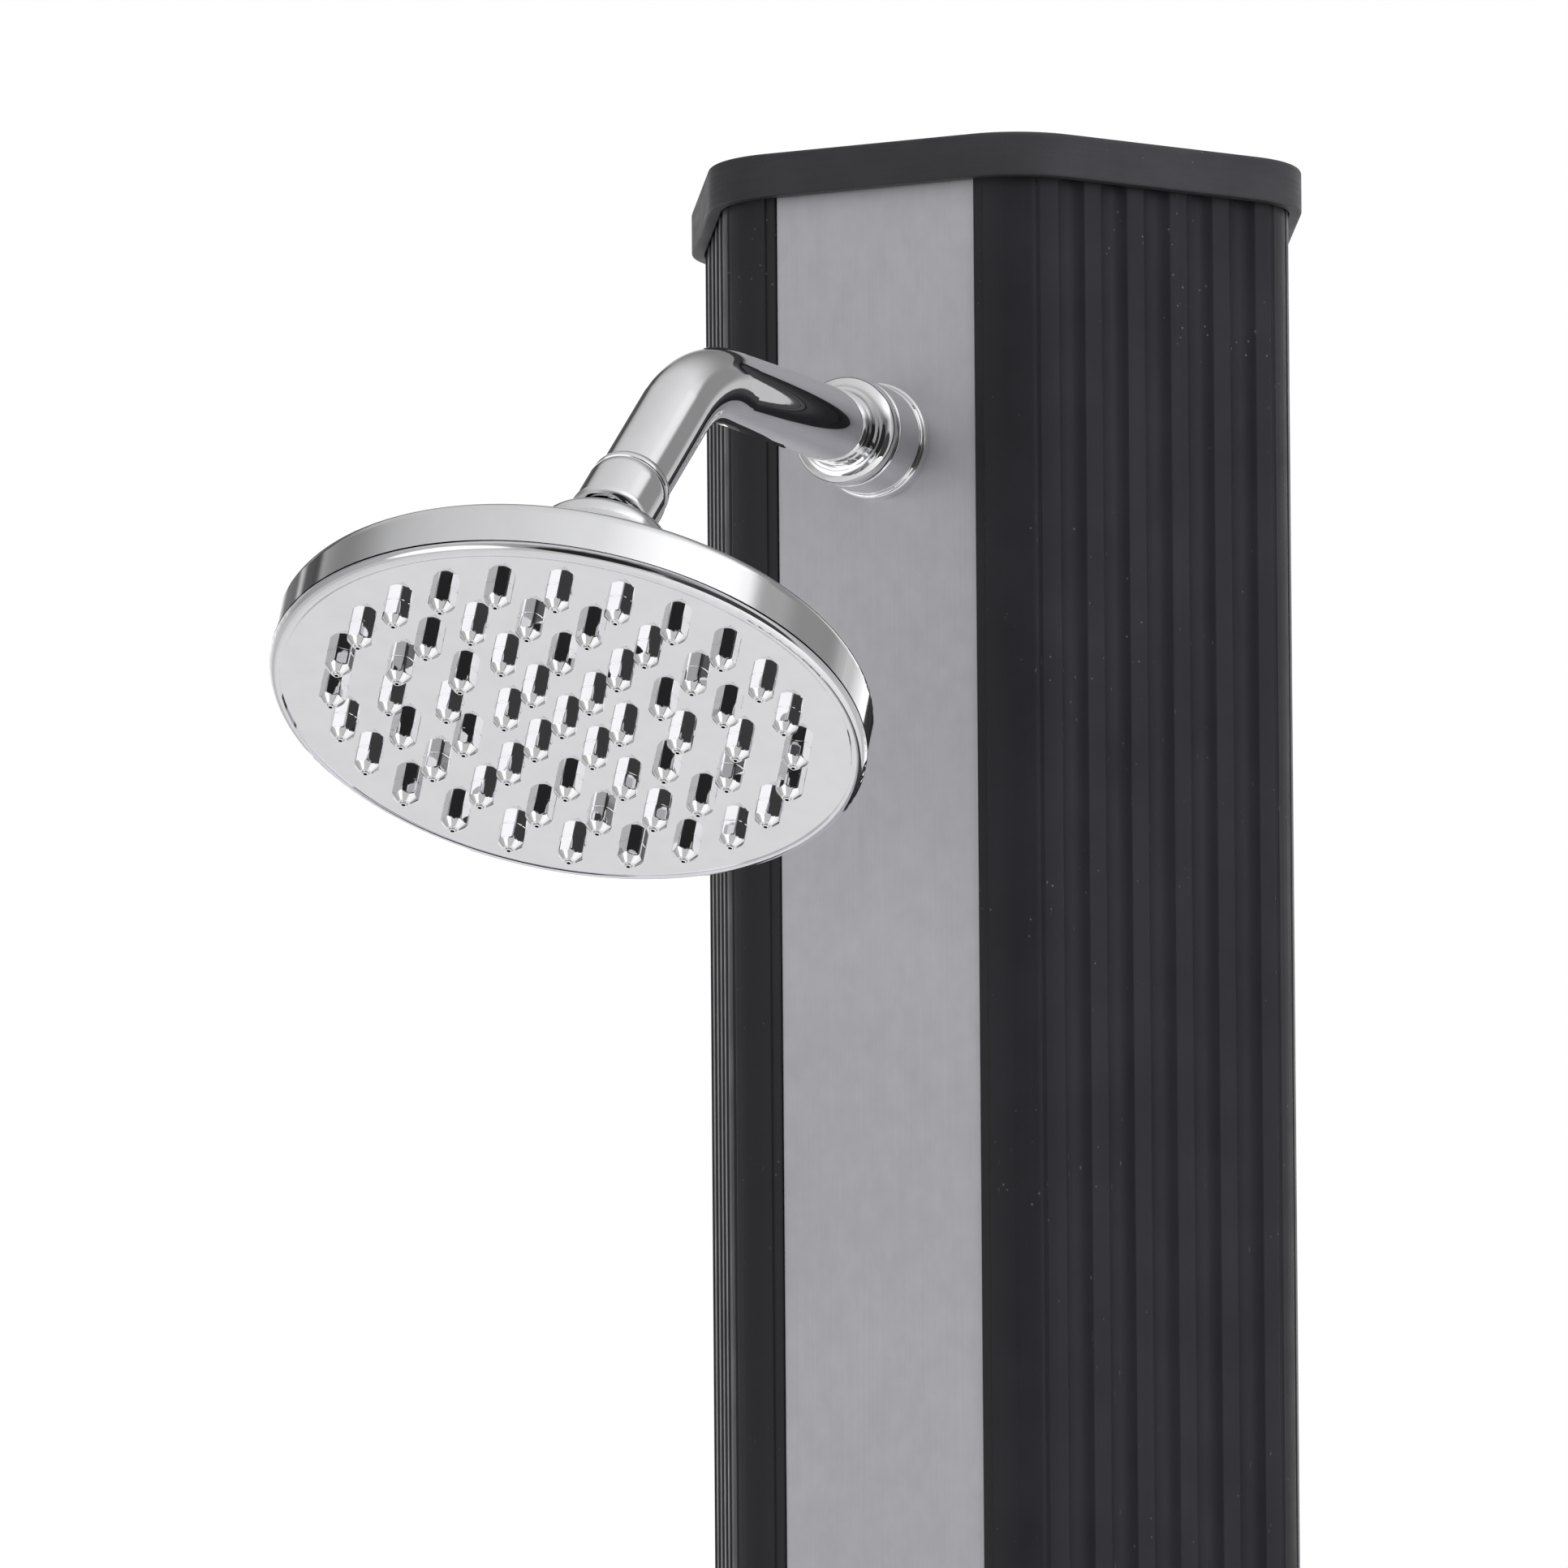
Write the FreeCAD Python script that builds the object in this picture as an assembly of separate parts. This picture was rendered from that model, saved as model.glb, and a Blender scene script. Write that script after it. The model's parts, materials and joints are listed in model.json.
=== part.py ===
import FreeCAD, Part
import math
import os

# An outdoor shower post: a ribbed six-sided column with a light front panel, an overhead
# rain head on a ball joint, a lever mixer, a foot tap, and the water tank and pipes inside.
# Millimetres. +Z is up, the front faces -Y, and the origin is the middle of the foot's
# underside.

Vector = FreeCAD.Vector
X_AXIS = Vector(1, 0, 0)
Y_AXIS = Vector(0, 1, 0)
Z_AXIS = Vector(0, 0, 1)
HALF_FACE = math.radians(30)

# ---- Driving dimensions -------------------------------------------------------------

# Post
post_height = 2170.0
column_across_corners = 192.0
column_corner_radius = 24.5
column_wall = 3.5
column_screw_height = 46.0
screw_head_radius = 4.0
screw_head_height = 2.2
screw_shank_radius = 2.4
screw_length = 12.0
screw_socket_radius = 1.3

# Ribs: on every face but the front one, flutes with flat lands between them
flutes_per_face = 5
flute_pitch = 15.15
flute_width = 9.3
flute_depth = 1.8
land_edge_radius = 0.6
corner_groove_turn = 19.0
corner_groove_radius = 1.25
corner_groove_depth = 0.5

# Front channel and the light panel in it
panel_width = 63.9
panel_thickness = 1.5
panel_recess = 1.2
channel_clearance = 0.3
lip_step_width = 3.0
lip_step_depth = 0.6
front_pad_width = 78.0
front_pad_depth = 1.7

# Cap and foot collar, of one section
cap_across_corners = 201.2
cap_corner_radius = 28.8
cap_skirt = 12.9
cap_plate = 3.0
cap_plug_depth = 25.0
cap_plug_wall = 2.5
cap_edge_radius = 1.2
cap_lip_radius = 0.6
collar_height = 26.0
sliding_gap = 0.3

# Foot plate
foot_across_flats = 242.0
foot_corner_radius = 30.0
foot_thickness = 8.0
spigot_height = 50.0
spigot_wall = 4.0
anchor_spacing_x = 200.0
anchor_spacing_y = 80.0
anchor_hole_radius = 5.5

# Shower arm
arm_drop = 88.1
arm_outer_radius = 11.0
arm_inner_radius = 9.5
arm_inner_end = -58.0
arm_corner_reach = 202.6
arm_bend_radius = 55.0
tail_angle = 42.0
tail_length = 63.7
escutcheon_length = 25.0
escutcheon_split = 19.2

# Ball joint, measured from the ball's centre. The nut's skirt dips into the ring's cup.
ball_from_corner = 82.7
ball_radius = 8.0
seat_thickness = 1.0
fit = 0.05
neck_radius = 3.9
neck_bore_radius = 2.4
neck_hole_radius = 4.6
socket_mouth_radius = 8.2
socket_split = -4.6
collar_radius = 10.1
skirt_radius = 10.4
skirt_low = 2.2
cup_radius = 14.4
cup_floor = -3.4
nut_radius = 12.45
head_pitch = 24.0

# Shower head, measured along its axis from the ball's centre
head_radius = 88.0
rim_back = 47.6
rim_front = 62.0
face_depth = 65.0
plate_thickness = 2.5
nozzle_rings = 4
nozzle_ring_pitch = 17.0
nozzle_phase = 22.5
nozzle_across_corners = 8.2
nozzle_straight = 4.5
nozzle_length = 6.85
nib_length = 0.7
nozzle_bore = 0.6

# Mixer
mixer_height = 1150.0
rosette_radius = 31.5
rosette_thickness = 4.0
mixer_radius = 23.0
mixer_length = 21.1
mixer_tail_radius = 16.0
cartridge_radius = 14.0
cartridge_seat = 7.0
mixer_port_radius = 3.5
mixer_port_offset = 9.0
dome_radius = 20.0
dome_ahead = 11.0
dome_wall = 2.5
handle_wall = 4.1
handle_gap = 0.4
lever_width = 16.0
lever_pin_radius = 2.0
stem_radius = 5.0
fork_width = 14.0

# Foot tap
foot_tap_height = 300.0
foot_tap_radius = 12.5
foot_tap_length = 33.0
foot_rosette_thickness = 3.0
foot_tail_radius = 9.0
foot_spindle_radius = 4.0
foot_hub_length = 14.0
foot_lever_width = 11.0
spout_radius = 8.0
spout_bore_radius = 6.0
spout_drop = 30.0

# Tank
tank_radius = 62.5
tank_wall = 3.7
tank_offset = 12.0
tank_bottom = 140.0
tank_top = 2040.0
tank_cap_wall = 4.0
tank_cap_skirt = 36.0
stand_radius = 56.0
stand_wall = 4.0
spacer_drop = 60.0
spacer_thickness = 12.0

# Pipes and the blocks that join them
pipe_radius = 5.0
pipe_wall = 1.0
pipe_row = -64.0
side_pipe_offset = 24.0
block_half_width = 34.0
block_half_height = 14.0
elbow_radius = 14.0
elbow_front = -72.0
elbow_back = -51.0

# Hose inlet and drain
inlet_height = 95.0
inlet_radius = 10.45
inlet_shank_radius = 10.9
inlet_bore_radius = 6.5
inlet_thread_length = 14.0
inlet_end_round = 0.8
seal_thickness = 1.5
inlet_nut_height = 6.0
inlet_block_front = 15.0
inlet_block_middle = 30.0
inlet_block_back = 45.0
inlet_block_half_height = 12.0
feed_bore_radius = 4.5
feed_radius = 6.0
drain_offset = -23.25
drain_radius = 5.5
drain_bore_radius = 3.5
drain_cap_radius = 8.5
drain_cap_length = 11.0

# ---- Worked out from them -----------------------------------------------------------

column_apothem = column_across_corners / 2 * math.cos(HALF_FACE)
cap_apothem = cap_across_corners / 2 * math.cos(HALF_FACE)
inner_apothem = column_apothem - column_wall
inner_corner_radius = column_corner_radius - column_wall
column_bottom = foot_thickness
column_top = post_height - cap_plate
panel_face = -(column_apothem - panel_recess)
channel_floor = panel_face + panel_thickness
wall_inside = -(inner_apothem - front_pad_depth)
arm_height = post_height - arm_drop
spigot_apothem = inner_apothem - sliding_gap
inlet_nut_back = column_apothem + seal_thickness
inlet_nut_front = inlet_nut_back + inlet_nut_height
channel_radius = pipe_radius - pipe_wall
screw_seat = column_apothem - flute_depth - 0.2
block_front = wall_inside + 1.9
block_back = pipe_row + 9.0
beyond_wall = column_apothem + 5.0
within_wall = 60.0

tail = Vector(0, -math.cos(math.radians(tail_angle)), -math.sin(math.radians(tail_angle)))
arm_corner = Vector(0, -arm_corner_reach, arm_height)
ball_centre = arm_corner + tail * ball_from_corner
seat_outer_radius = ball_radius + fit + seat_thickness
socket_radius = seat_outer_radius + fit


# ---- Helpers ------------------------------------------------------------------------

def hexagon_face(apothem, corner_radius, z):
    """A six-sided face with rounded corners, its flats facing front and back."""
    edges = []
    ends = []
    reach = (apothem - corner_radius) / math.cos(HALF_FACE)
    for corner in range(6):
        angle = math.radians(60 * corner)
        centre = Vector(reach * math.cos(angle), reach * math.sin(angle), z)
        arc = []
        for turn in (-HALF_FACE, 0, HALF_FACE):
            outward = Vector(math.cos(angle + turn), math.sin(angle + turn), 0)
            arc.append(centre + outward * corner_radius)
        edges.append(Part.Arc(*arc).toShape())
        ends.append((arc[0], arc[2]))
    sides = []
    for corner in range(6):
        sides.append(edges[corner])
        start = ends[corner][1]
        end = ends[(corner + 1) % 6][0]
        sides.append(Part.LineSegment(start, end).toShape())
    return Part.Face(Part.Wire(sides))


def hexagon_prism(apothem, corner_radius, low, high):
    return hexagon_face(apothem, corner_radius, low).extrude(Vector(0, 0, high - low))


def box(x_low, x_high, y_low, y_high, z_low, z_high):
    corner = Vector(x_low, y_low, z_low)
    return Part.makeBox(x_high - x_low, y_high - y_low, z_high - z_low, corner)


def rod_y(radius, y_low, y_high, x, z):
    """A cylinder along Y."""
    return Part.makeCylinder(radius, y_high - y_low, Vector(x, y_low, z), Y_AXIS)


def rod_z(radius, z_low, z_high, x, y):
    """A cylinder along Z."""
    return Part.makeCylinder(radius, z_high - z_low, Vector(x, y, z_low), Z_AXIS)


def turned(start, steps):
    """A solid turned about Z. A step is a point (r, z), or (through, end) for an arc."""
    edges = []
    here = Vector(start[0], 0, start[1])
    first = here
    for step in steps:
        if isinstance(step[0], tuple):
            through = Vector(step[0][0], 0, step[0][1])
            there = Vector(step[1][0], 0, step[1][1])
            edges.append(Part.Arc(here, through, there).toShape())
        else:
            there = Vector(step[0], 0, step[1])
            edges.append(Part.LineSegment(here, there).toShape())
        here = there
    if here.distanceToPoint(first) > 1e-6:
        edges.append(Part.LineSegment(here, first).toShape())
    return Part.Face(Part.Wire(edges)).revolve(Vector(), Z_AXIS, 360)


def aim_front(shape, y, z):
    """Lay a solid turned about Z on the post's front: its +Z comes to face -Y."""
    shape.rotate(Vector(), X_AXIS, 90)
    shape.translate(Vector(0, y, z))
    return shape


def hang_on_tail(shape):
    """Put a solid turned about Z on the arm's tail: +Z runs up the tail from the ball."""
    shape.rotate(Vector(), X_AXIS, tail_angle - 90)
    shape.translate(ball_centre)
    return shape


def hang_on_ball(shape):
    """Put a solid turned about Z under the ball as the head hangs: -Z is the spray's way."""
    shape.rotate(Vector(), X_AXIS, -head_pitch)
    shape.translate(ball_centre)
    return shape


def rounded_path(points, bend_radius):
    """Straight runs through the points, joined by tangent arcs."""
    edges = []
    here = points[0]
    for index in range(1, len(points) - 1):
        corner = points[index]
        back = (points[index - 1] - corner).normalize()
        ahead = (points[index + 1] - corner).normalize()
        half_angle = back.getAngle(ahead) / 2
        tangent = bend_radius / math.tan(half_angle)
        start = corner + back * tangent
        end = corner + ahead * tangent
        middle_way = (back + ahead).normalize()
        centre = corner + middle_way * (bend_radius / math.sin(half_angle))
        edges.append(Part.LineSegment(here, start).toShape())
        edges.append(Part.Arc(start, centre - middle_way * bend_radius, end).toShape())
        here = end
    edges.append(Part.LineSegment(here, points[-1]).toShape())
    return Part.Wire(edges)


def swept(points, bend_radius, radius):
    path = rounded_path(points, bend_radius)
    circle = Part.Circle(points[0], points[1] - points[0], radius).toShape()
    return path.makePipeShell([Part.Wire([circle])], True, False)


def bent_tube(points, bend_radius, outer_radius, inner_radius):
    outer = swept(points, bend_radius, outer_radius)
    return outer.cut(swept(points, bend_radius, inner_radius))


def straight_pipe(x, y, low, high):
    pipe = rod_z(pipe_radius, low, high, x, y)
    return pipe.cut(rod_z(pipe_radius - pipe_wall, low, high, x, y))


def sphere_height(radius, r):
    """Height on a sphere about the ball's centre at distance r from its axis."""
    return math.sqrt(radius ** 2 - r ** 2)


def nut_y(across_flats, bore, y_low, y_high, x, z):
    """A hexagon nut along Y."""
    corner_distance = across_flats / 2 / math.cos(HALF_FACE)
    corners = []
    for index in range(7):
        angle = math.radians(60 * index)
        corners.append(Vector(x + corner_distance * math.cos(angle), y_low,
                              z + corner_distance * math.sin(angle)))
    nut = Part.Face(Part.makePolygon(corners)).extrude(Vector(0, y_high - y_low, 0))
    return nut.cut(rod_y(bore, y_low, y_high, x, z))


def rounded_edges(shape, radius, wanted):
    """Round the edges whose middle point passes the test."""
    edges = [edge for edge in shape.Edges if wanted(edge.CenterOfMass, edge)]
    return shape.makeFillet(radius, edges)


# ---- Post ---------------------------------------------------------------------------

def face_normals():
    """Outward directions of the five ribbed faces, as angles in degrees."""
    return [-30, 30, 90, 150, 210]


def flute_cutters(z):
    """Round cutters, as flat discs, for the flutes of the ribbed faces."""
    radius = ((flute_width / 2) ** 2 + flute_depth ** 2) / (2 * flute_depth)
    cutters = []
    for normal in face_normals():
        outward = Vector(math.cos(math.radians(normal)), math.sin(math.radians(normal)), 0)
        along = Vector(-outward.y, outward.x, 0)
        for index in range(flutes_per_face):
            offset = (index - (flutes_per_face - 1) / 2) * flute_pitch
            centre = outward * (column_apothem - flute_depth + radius) + along * offset
            centre.z = z
            circle = Part.Circle(centre, Z_AXIS, radius).toShape()
            cutters.append(Part.Face(Part.Wire([circle])))
    return cutters


def corner_groove_cutters(z):
    """Discs for the fine grooves in the rounded corners, one at each side of a ribbed face."""
    corner_reach = (column_apothem - column_corner_radius) / math.cos(HALF_FACE)
    groove_reach = column_corner_radius - corner_groove_depth + corner_groove_radius
    cutters = []
    for normal in face_normals():
        for side in (-1, 1):
            corner = math.radians(normal + 30 * side)
            turn = math.radians(normal + corner_groove_turn * side)
            centre = Vector(corner_reach * math.cos(corner) + groove_reach * math.cos(turn),
                            corner_reach * math.sin(corner) + groove_reach * math.sin(turn), z)
            circle = Part.Circle(centre, Z_AXIS, corner_groove_radius).toShape()
            cutters.append(Part.Face(Part.Wire([circle])))
    return cutters


def column_outline():
    """The column's outer outline as one face, with its flutes, grooves and front channel."""
    outline = hexagon_face(column_apothem, column_corner_radius, column_bottom)
    outline = outline.cut(Part.makeCompound(flute_cutters(column_bottom)))
    outline = outline.cut(Part.makeCompound(corner_groove_cutters(column_bottom)))
    deep = panel_width / 2 + channel_clearance
    wide = deep + lip_step_width
    levels = ((deep, channel_floor), (wide, -column_apothem + lip_step_depth))
    for half_width, floor in levels:
        corners = [Vector(-half_width, -column_apothem - 1, column_bottom),
                   Vector(half_width, -column_apothem - 1, column_bottom),
                   Vector(half_width, floor, column_bottom),
                   Vector(-half_width, floor, column_bottom)]
        outline = outline.cut(Part.Face(Part.makePolygon(corners + corners[:1])))
    return outline


def land_edge(point, edge):
    """True for the upright edges where a flute meets a land."""
    upright = abs(edge.tangentAt(edge.FirstParameter).z) > 0.99
    if not upright:
        return False
    for normal in face_normals():
        turn = math.radians(normal)
        depth = column_apothem - point.x * math.cos(turn) - point.y * math.sin(turn)
        offset = abs(-point.x * math.sin(turn) + point.y * math.cos(turn))
        in_flute = abs(offset / flute_pitch - round(offset / flute_pitch)) * flute_pitch
        if -0.01 < depth < 1.5 and offset < 40 and abs(in_flute - flute_width / 2) < 0.8:
            return True
    return False


def wall_holes():
    """Everything that passes through the column's wall."""
    front_holes = ((arm_outer_radius, arm_height), (mixer_tail_radius, mixer_height),
                   (foot_tail_radius, foot_tap_height))
    back_holes = ((inlet_shank_radius, 0), (drain_radius, drain_offset))
    holes = []
    for radius, height in front_holes:
        holes.append(rod_y(radius + sliding_gap, -beyond_wall, -within_wall, 0, height))
    for radius, x in back_holes:
        holes.append(rod_y(radius + sliding_gap, within_wall, beyond_wall, x, inlet_height))
    for normal in screw_normals():
        outward = Vector(math.cos(math.radians(normal)), math.sin(math.radians(normal)), 0)
        at = Vector(0, 0, column_screw_height)
        holes.append(Part.makeCylinder(screw_shank_radius + 0.1, screw_seat - within_wall,
                                       at + outward * within_wall, outward))
        holes.append(Part.makeCylinder(screw_head_radius + 0.6, 5, at + outward * screw_seat,
                                       outward))
    return Part.makeCompound(holes)


def screw_normals():
    return [-30, 30, 150, 210]


def column_shell():
    outer = column_outline().extrude(Vector(0, 0, column_top - column_bottom))
    outer = rounded_edges(outer, land_edge_radius, land_edge)
    hollow = hexagon_prism(inner_apothem, inner_corner_radius, column_bottom, column_top)
    pad = box(-front_pad_width / 2, front_pad_width / 2, -inner_apothem - 1, wall_inside,
              column_bottom, column_top)
    return outer.cut(hollow.cut(pad)).cut(wall_holes())


def front_panel():
    panel = box(-panel_width / 2, panel_width / 2, panel_face, channel_floor,
                column_bottom, column_top)
    return panel.cut(wall_holes())


def top_cap():
    low = post_height - cap_skirt
    cap = hexagon_prism(cap_apothem, cap_corner_radius, low, post_height)
    cap = rounded_edges(cap, cap_edge_radius, lambda point, edge: point.z > post_height - 0.1)
    cap = rounded_edges(cap, cap_lip_radius, lambda point, edge: point.z < low + 0.1)
    skirt_inside = hexagon_prism(column_apothem + sliding_gap, column_corner_radius,
                                 low, column_top)
    plug_low = column_top - cap_plug_depth
    plug = hexagon_prism(spigot_apothem - front_pad_depth, inner_corner_radius, plug_low, column_top)
    plug_hole = hexagon_prism(spigot_apothem - front_pad_depth - cap_plug_wall,
                              inner_corner_radius - cap_plug_wall, plug_low, column_top)
    return cap.cut(skirt_inside).fuse(plug.cut(plug_hole)).removeSplitter()


def foot_collar():
    low = foot_thickness
    high = low + collar_height
    collar = hexagon_prism(cap_apothem, cap_corner_radius, low, high)
    collar = rounded_edges(collar, cap_edge_radius, lambda point, edge: point.z > high - 0.1)
    return collar.cut(hexagon_prism(column_apothem + sliding_gap, column_corner_radius, low, high))


def base_plate():
    plate = hexagon_prism(foot_across_flats / 2, foot_corner_radius, 0, foot_thickness)
    plate = rounded_edges(plate, 2.0, lambda point, edge: point.z > foot_thickness - 0.1)
    inset = front_pad_depth + spigot_wall
    spigot = hexagon_prism(spigot_apothem - front_pad_depth, inner_corner_radius,
                           foot_thickness, foot_thickness + spigot_height)
    spigot = spigot.cut(hexagon_prism(spigot_apothem - inset, inner_corner_radius - spigot_wall,
                                      foot_thickness, foot_thickness + spigot_height))
    plate = plate.fuse(spigot).removeSplitter()
    for x in (-anchor_spacing_x / 2, anchor_spacing_x / 2):
        for y in (-anchor_spacing_y / 2, anchor_spacing_y / 2):
            plate = plate.cut(rod_z(anchor_hole_radius, 0, foot_thickness, x, y))
    return plate.cut(wall_holes())


def column_screws():
    screws = []
    for normal in screw_normals():
        outward = Vector(math.cos(math.radians(normal)), math.sin(math.radians(normal)), 0)
        seat = outward * screw_seat
        seat.z = column_screw_height
        head = Part.makeCylinder(screw_head_radius, screw_head_height, seat, outward)
        head = rounded_edges(head, 1.2, lambda point, edge: point.distanceToPoint(seat) > 2)
        shank = Part.makeCylinder(screw_shank_radius, screw_length, seat, outward * -1)
        socket = Part.makeCylinder(screw_socket_radius, screw_head_height, seat + outward * 0.9,
                                   outward)
        screws.append(head.fuse(shank).cut(socket))
    return Part.makeCompound(screws)


# ---- Tank and pipes inside the post -------------------------------------------------

def tank_tube():
    tube = rod_z(tank_radius, tank_bottom, tank_top, 0, tank_offset)
    return tube.cut(rod_z(tank_radius - tank_wall, tank_bottom, tank_top, 0, tank_offset))


def tank_cap(low, high, mouth_low, mouth_high, port_x, port_y, port_radius):
    """A cap pushed over one end of the tank, with one port."""
    cap = rod_z(tank_radius + tank_cap_wall, low, high, 0, tank_offset)
    cap = cap.cut(rod_z(tank_radius + 0.1, mouth_low, mouth_high, 0, tank_offset))
    return cap.cut(rod_z(port_radius, low, high, port_x, port_y))


def tank_bottom_cap():
    mouth_high = tank_bottom + tank_cap_skirt
    return tank_cap(tank_bottom - tank_cap_wall, mouth_high, tank_bottom, mouth_high,
                    0, inlet_block_middle, feed_bore_radius)


def tank_top_cap():
    mouth_low = tank_top - tank_cap_skirt
    return tank_cap(mouth_low, tank_top + tank_cap_wall, mouth_low, tank_top,
                    side_pipe_offset, tank_offset, channel_radius)


def tank_stand():
    """The short tube under the tank, with a wide window for the pipes at its front and back."""
    high = tank_bottom - tank_cap_wall
    stand = rod_z(stand_radius, foot_thickness, high, 0, tank_offset)
    stand = stand.cut(rod_z(stand_radius - stand_wall, foot_thickness, high, 0, tank_offset))
    return stand.cut(box(-40, 40, -60, 90, inlet_height - 25, high - 10))


def tank_spacer():
    """The collar that holds the tank's top in the column, open at the front for the pipes."""
    low = tank_top - spacer_drop
    high = low + spacer_thickness
    spacer = hexagon_prism(spigot_apothem, inner_corner_radius, low, high)
    spacer = spacer.cut(rod_z(tank_radius + sliding_gap, low, high, 0, tank_offset))
    return spacer.cut(box(-40, 40, -90, -45, low, high))


def inlet_nipple():
    flange_back = inner_apothem - 5.6
    end = inlet_nut_front + inlet_thread_length + inlet_end_round
    nipple = rod_y(8, inlet_block_back, flange_back + 1, 0, inlet_height)
    flange = rod_y(15, flange_back, inner_apothem, 0, inlet_height)
    shank = rod_y(inlet_shank_radius, inner_apothem, inlet_nut_front, 0, inlet_height)
    thread = rod_y(inlet_radius, inlet_nut_front - 1, end, 0, inlet_height)
    thread = rounded_edges(thread, inlet_end_round, lambda point, edge: point.y > end - 0.1)
    whole = nipple.fuse(flange).fuse(shank).fuse(thread)
    return whole.cut(rod_y(inlet_bore_radius, inlet_block_back, end, 0, inlet_height))


def inlet_nut():
    return nut_y(25, inlet_shank_radius + fit, inlet_nut_back, inlet_nut_front, 0, inlet_height)


def seal_ring(outer_radius, inner_radius, x):
    """A flat ring against the column's back."""
    ring = rod_y(outer_radius, column_apothem, inlet_nut_back, x, inlet_height)
    return ring.cut(rod_y(inner_radius, column_apothem, inlet_nut_back, x, inlet_height))


def inlet_seal():
    return seal_ring(13.5, inlet_shank_radius + fit, 0)


def inlet_manifold():
    """The block behind the inlet that feeds the tank, the cold pipe and the drain."""
    front = inlet_block_front
    middle = inlet_block_middle
    back = inlet_block_back
    high = inlet_height + inlet_block_half_height
    block = box(-block_half_width, 15, front, back, inlet_height - inlet_block_half_height, high)
    cross = Part.makeCylinder(channel_radius, side_pipe_offset + 2,
                              Vector(-side_pipe_offset - 1, middle, inlet_height), X_AXIS)
    channels = [rod_y(inlet_bore_radius, middle, back, 0, inlet_height),
                rod_y(drain_bore_radius, middle, back, drain_offset, inlet_height),
                rod_y(channel_radius, front, middle, -side_pipe_offset, inlet_height),
                rod_z(feed_bore_radius, inlet_height, high, 0, middle), cross]
    return block.cut(Part.makeCompound(channels))


def tank_feed_pipe():
    low = inlet_height + inlet_block_half_height
    high = tank_bottom - tank_cap_wall
    pipe = rod_z(feed_radius, low, high, 0, inlet_block_middle)
    return pipe.cut(rod_z(feed_bore_radius, low, high, 0, inlet_block_middle))


def drain_nipple():
    nipple = rod_y(drain_radius, inlet_block_back, beyond_wall, drain_offset, inlet_height)
    return nipple.cut(rod_y(drain_bore_radius, inlet_block_back, beyond_wall, drain_offset,
                            inlet_height))


def drain_seal():
    return seal_ring(8.0, drain_radius + fit, drain_offset)


def drain_cap():
    high = inlet_nut_back + drain_cap_length
    cap = rod_y(drain_cap_radius, inlet_nut_back, high, drain_offset, inlet_height)
    cap = rounded_edges(cap, 1.0, lambda point, edge: point.y > high - 0.1)
    return cap.cut(rod_y(drain_radius + fit, inlet_nut_back, beyond_wall + 0.5, drain_offset,
                         inlet_height))


def cold_pipe_lower():
    points = [Vector(-side_pipe_offset, inlet_block_front, inlet_height),
              Vector(-side_pipe_offset, pipe_row, inlet_height),
              Vector(-side_pipe_offset, pipe_row, foot_tap_height - block_half_height)]
    return bent_tube(points, 20, pipe_radius, channel_radius)


def cold_pipe_upper():
    return straight_pipe(-side_pipe_offset, pipe_row, foot_tap_height + block_half_height,
                         mixer_height - block_half_height)


def hot_pipe():
    turn_height = arm_height + 5
    points = [Vector(side_pipe_offset, tank_offset, tank_top + tank_cap_wall),
              Vector(side_pipe_offset, tank_offset, turn_height),
              Vector(side_pipe_offset, pipe_row, turn_height),
              Vector(side_pipe_offset, pipe_row, mixer_height + block_half_height)]
    return bent_tube(points, 18, pipe_radius, channel_radius)


def riser_pipe():
    return straight_pipe(0, pipe_row, mixer_height + block_half_height, arm_height - 17)


def foot_tee():
    """The block behind the panel that feeds the foot tap from the cold pipe."""
    low = foot_tap_height - block_half_height
    high = foot_tap_height + block_half_height
    block = box(-block_half_width, 14, block_front, block_back, low, high)
    cross = Part.makeCylinder(channel_radius, side_pipe_offset,
                              Vector(-side_pipe_offset, pipe_row, foot_tap_height), X_AXIS)
    channels = [rod_z(channel_radius, low, high, -side_pipe_offset, pipe_row),
                rod_y(channel_radius, block_front, pipe_row, 0, foot_tap_height), cross]
    return block.cut(Part.makeCompound(channels))


def mixer_ports():
    """Where the cold inlet, the hot inlet and the outlet cross from block to mixer."""
    return [(-mixer_port_offset, 0), (mixer_port_offset, 0), (0, mixer_port_offset)]


def mixer_manifold():
    """The block behind the panel that joins the mixer to its three pipes."""
    low = mixer_height - block_half_height
    high = mixer_height + block_half_height
    reach = side_pipe_offset - mixer_port_offset
    block = box(-block_half_width, block_half_width, block_front, block_back, low, high)
    channels = [rod_z(channel_radius, mixer_height + 3, high, 0, pipe_row),
                rod_z(channel_radius, low, mixer_height, -side_pipe_offset, pipe_row),
                rod_z(channel_radius, mixer_height, high, side_pipe_offset, pipe_row)]
    for start in (-side_pipe_offset, mixer_port_offset):
        channels.append(Part.makeCylinder(mixer_port_radius, reach,
                                          Vector(start, pipe_row, mixer_height), X_AXIS))
    for x, z in mixer_ports():
        channels.append(rod_y(mixer_port_radius, block_front, pipe_row, x, mixer_height + z))
    return block.cut(Part.makeCompound(channels))


# ---- Shower arm and its ball --------------------------------------------------------

def arm_elbow():
    socket_low = arm_height - 25
    body = rod_y(elbow_radius, elbow_front, elbow_back, 0, arm_height)
    body = body.fuse(rod_z(8, socket_low, arm_height, 0, pipe_row))
    body = body.cut(rod_y(arm_outer_radius + fit, elbow_front, arm_inner_end, 0, arm_height))
    body = body.cut(rod_z(pipe_radius + fit, socket_low, arm_height - 17, 0, pipe_row))
    return body.cut(rod_z(channel_radius, socket_low, arm_height, 0, pipe_row))


def arm_lock_nut():
    return nut_y(28, arm_outer_radius + fit, wall_inside, elbow_front, 0, arm_height)


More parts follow.
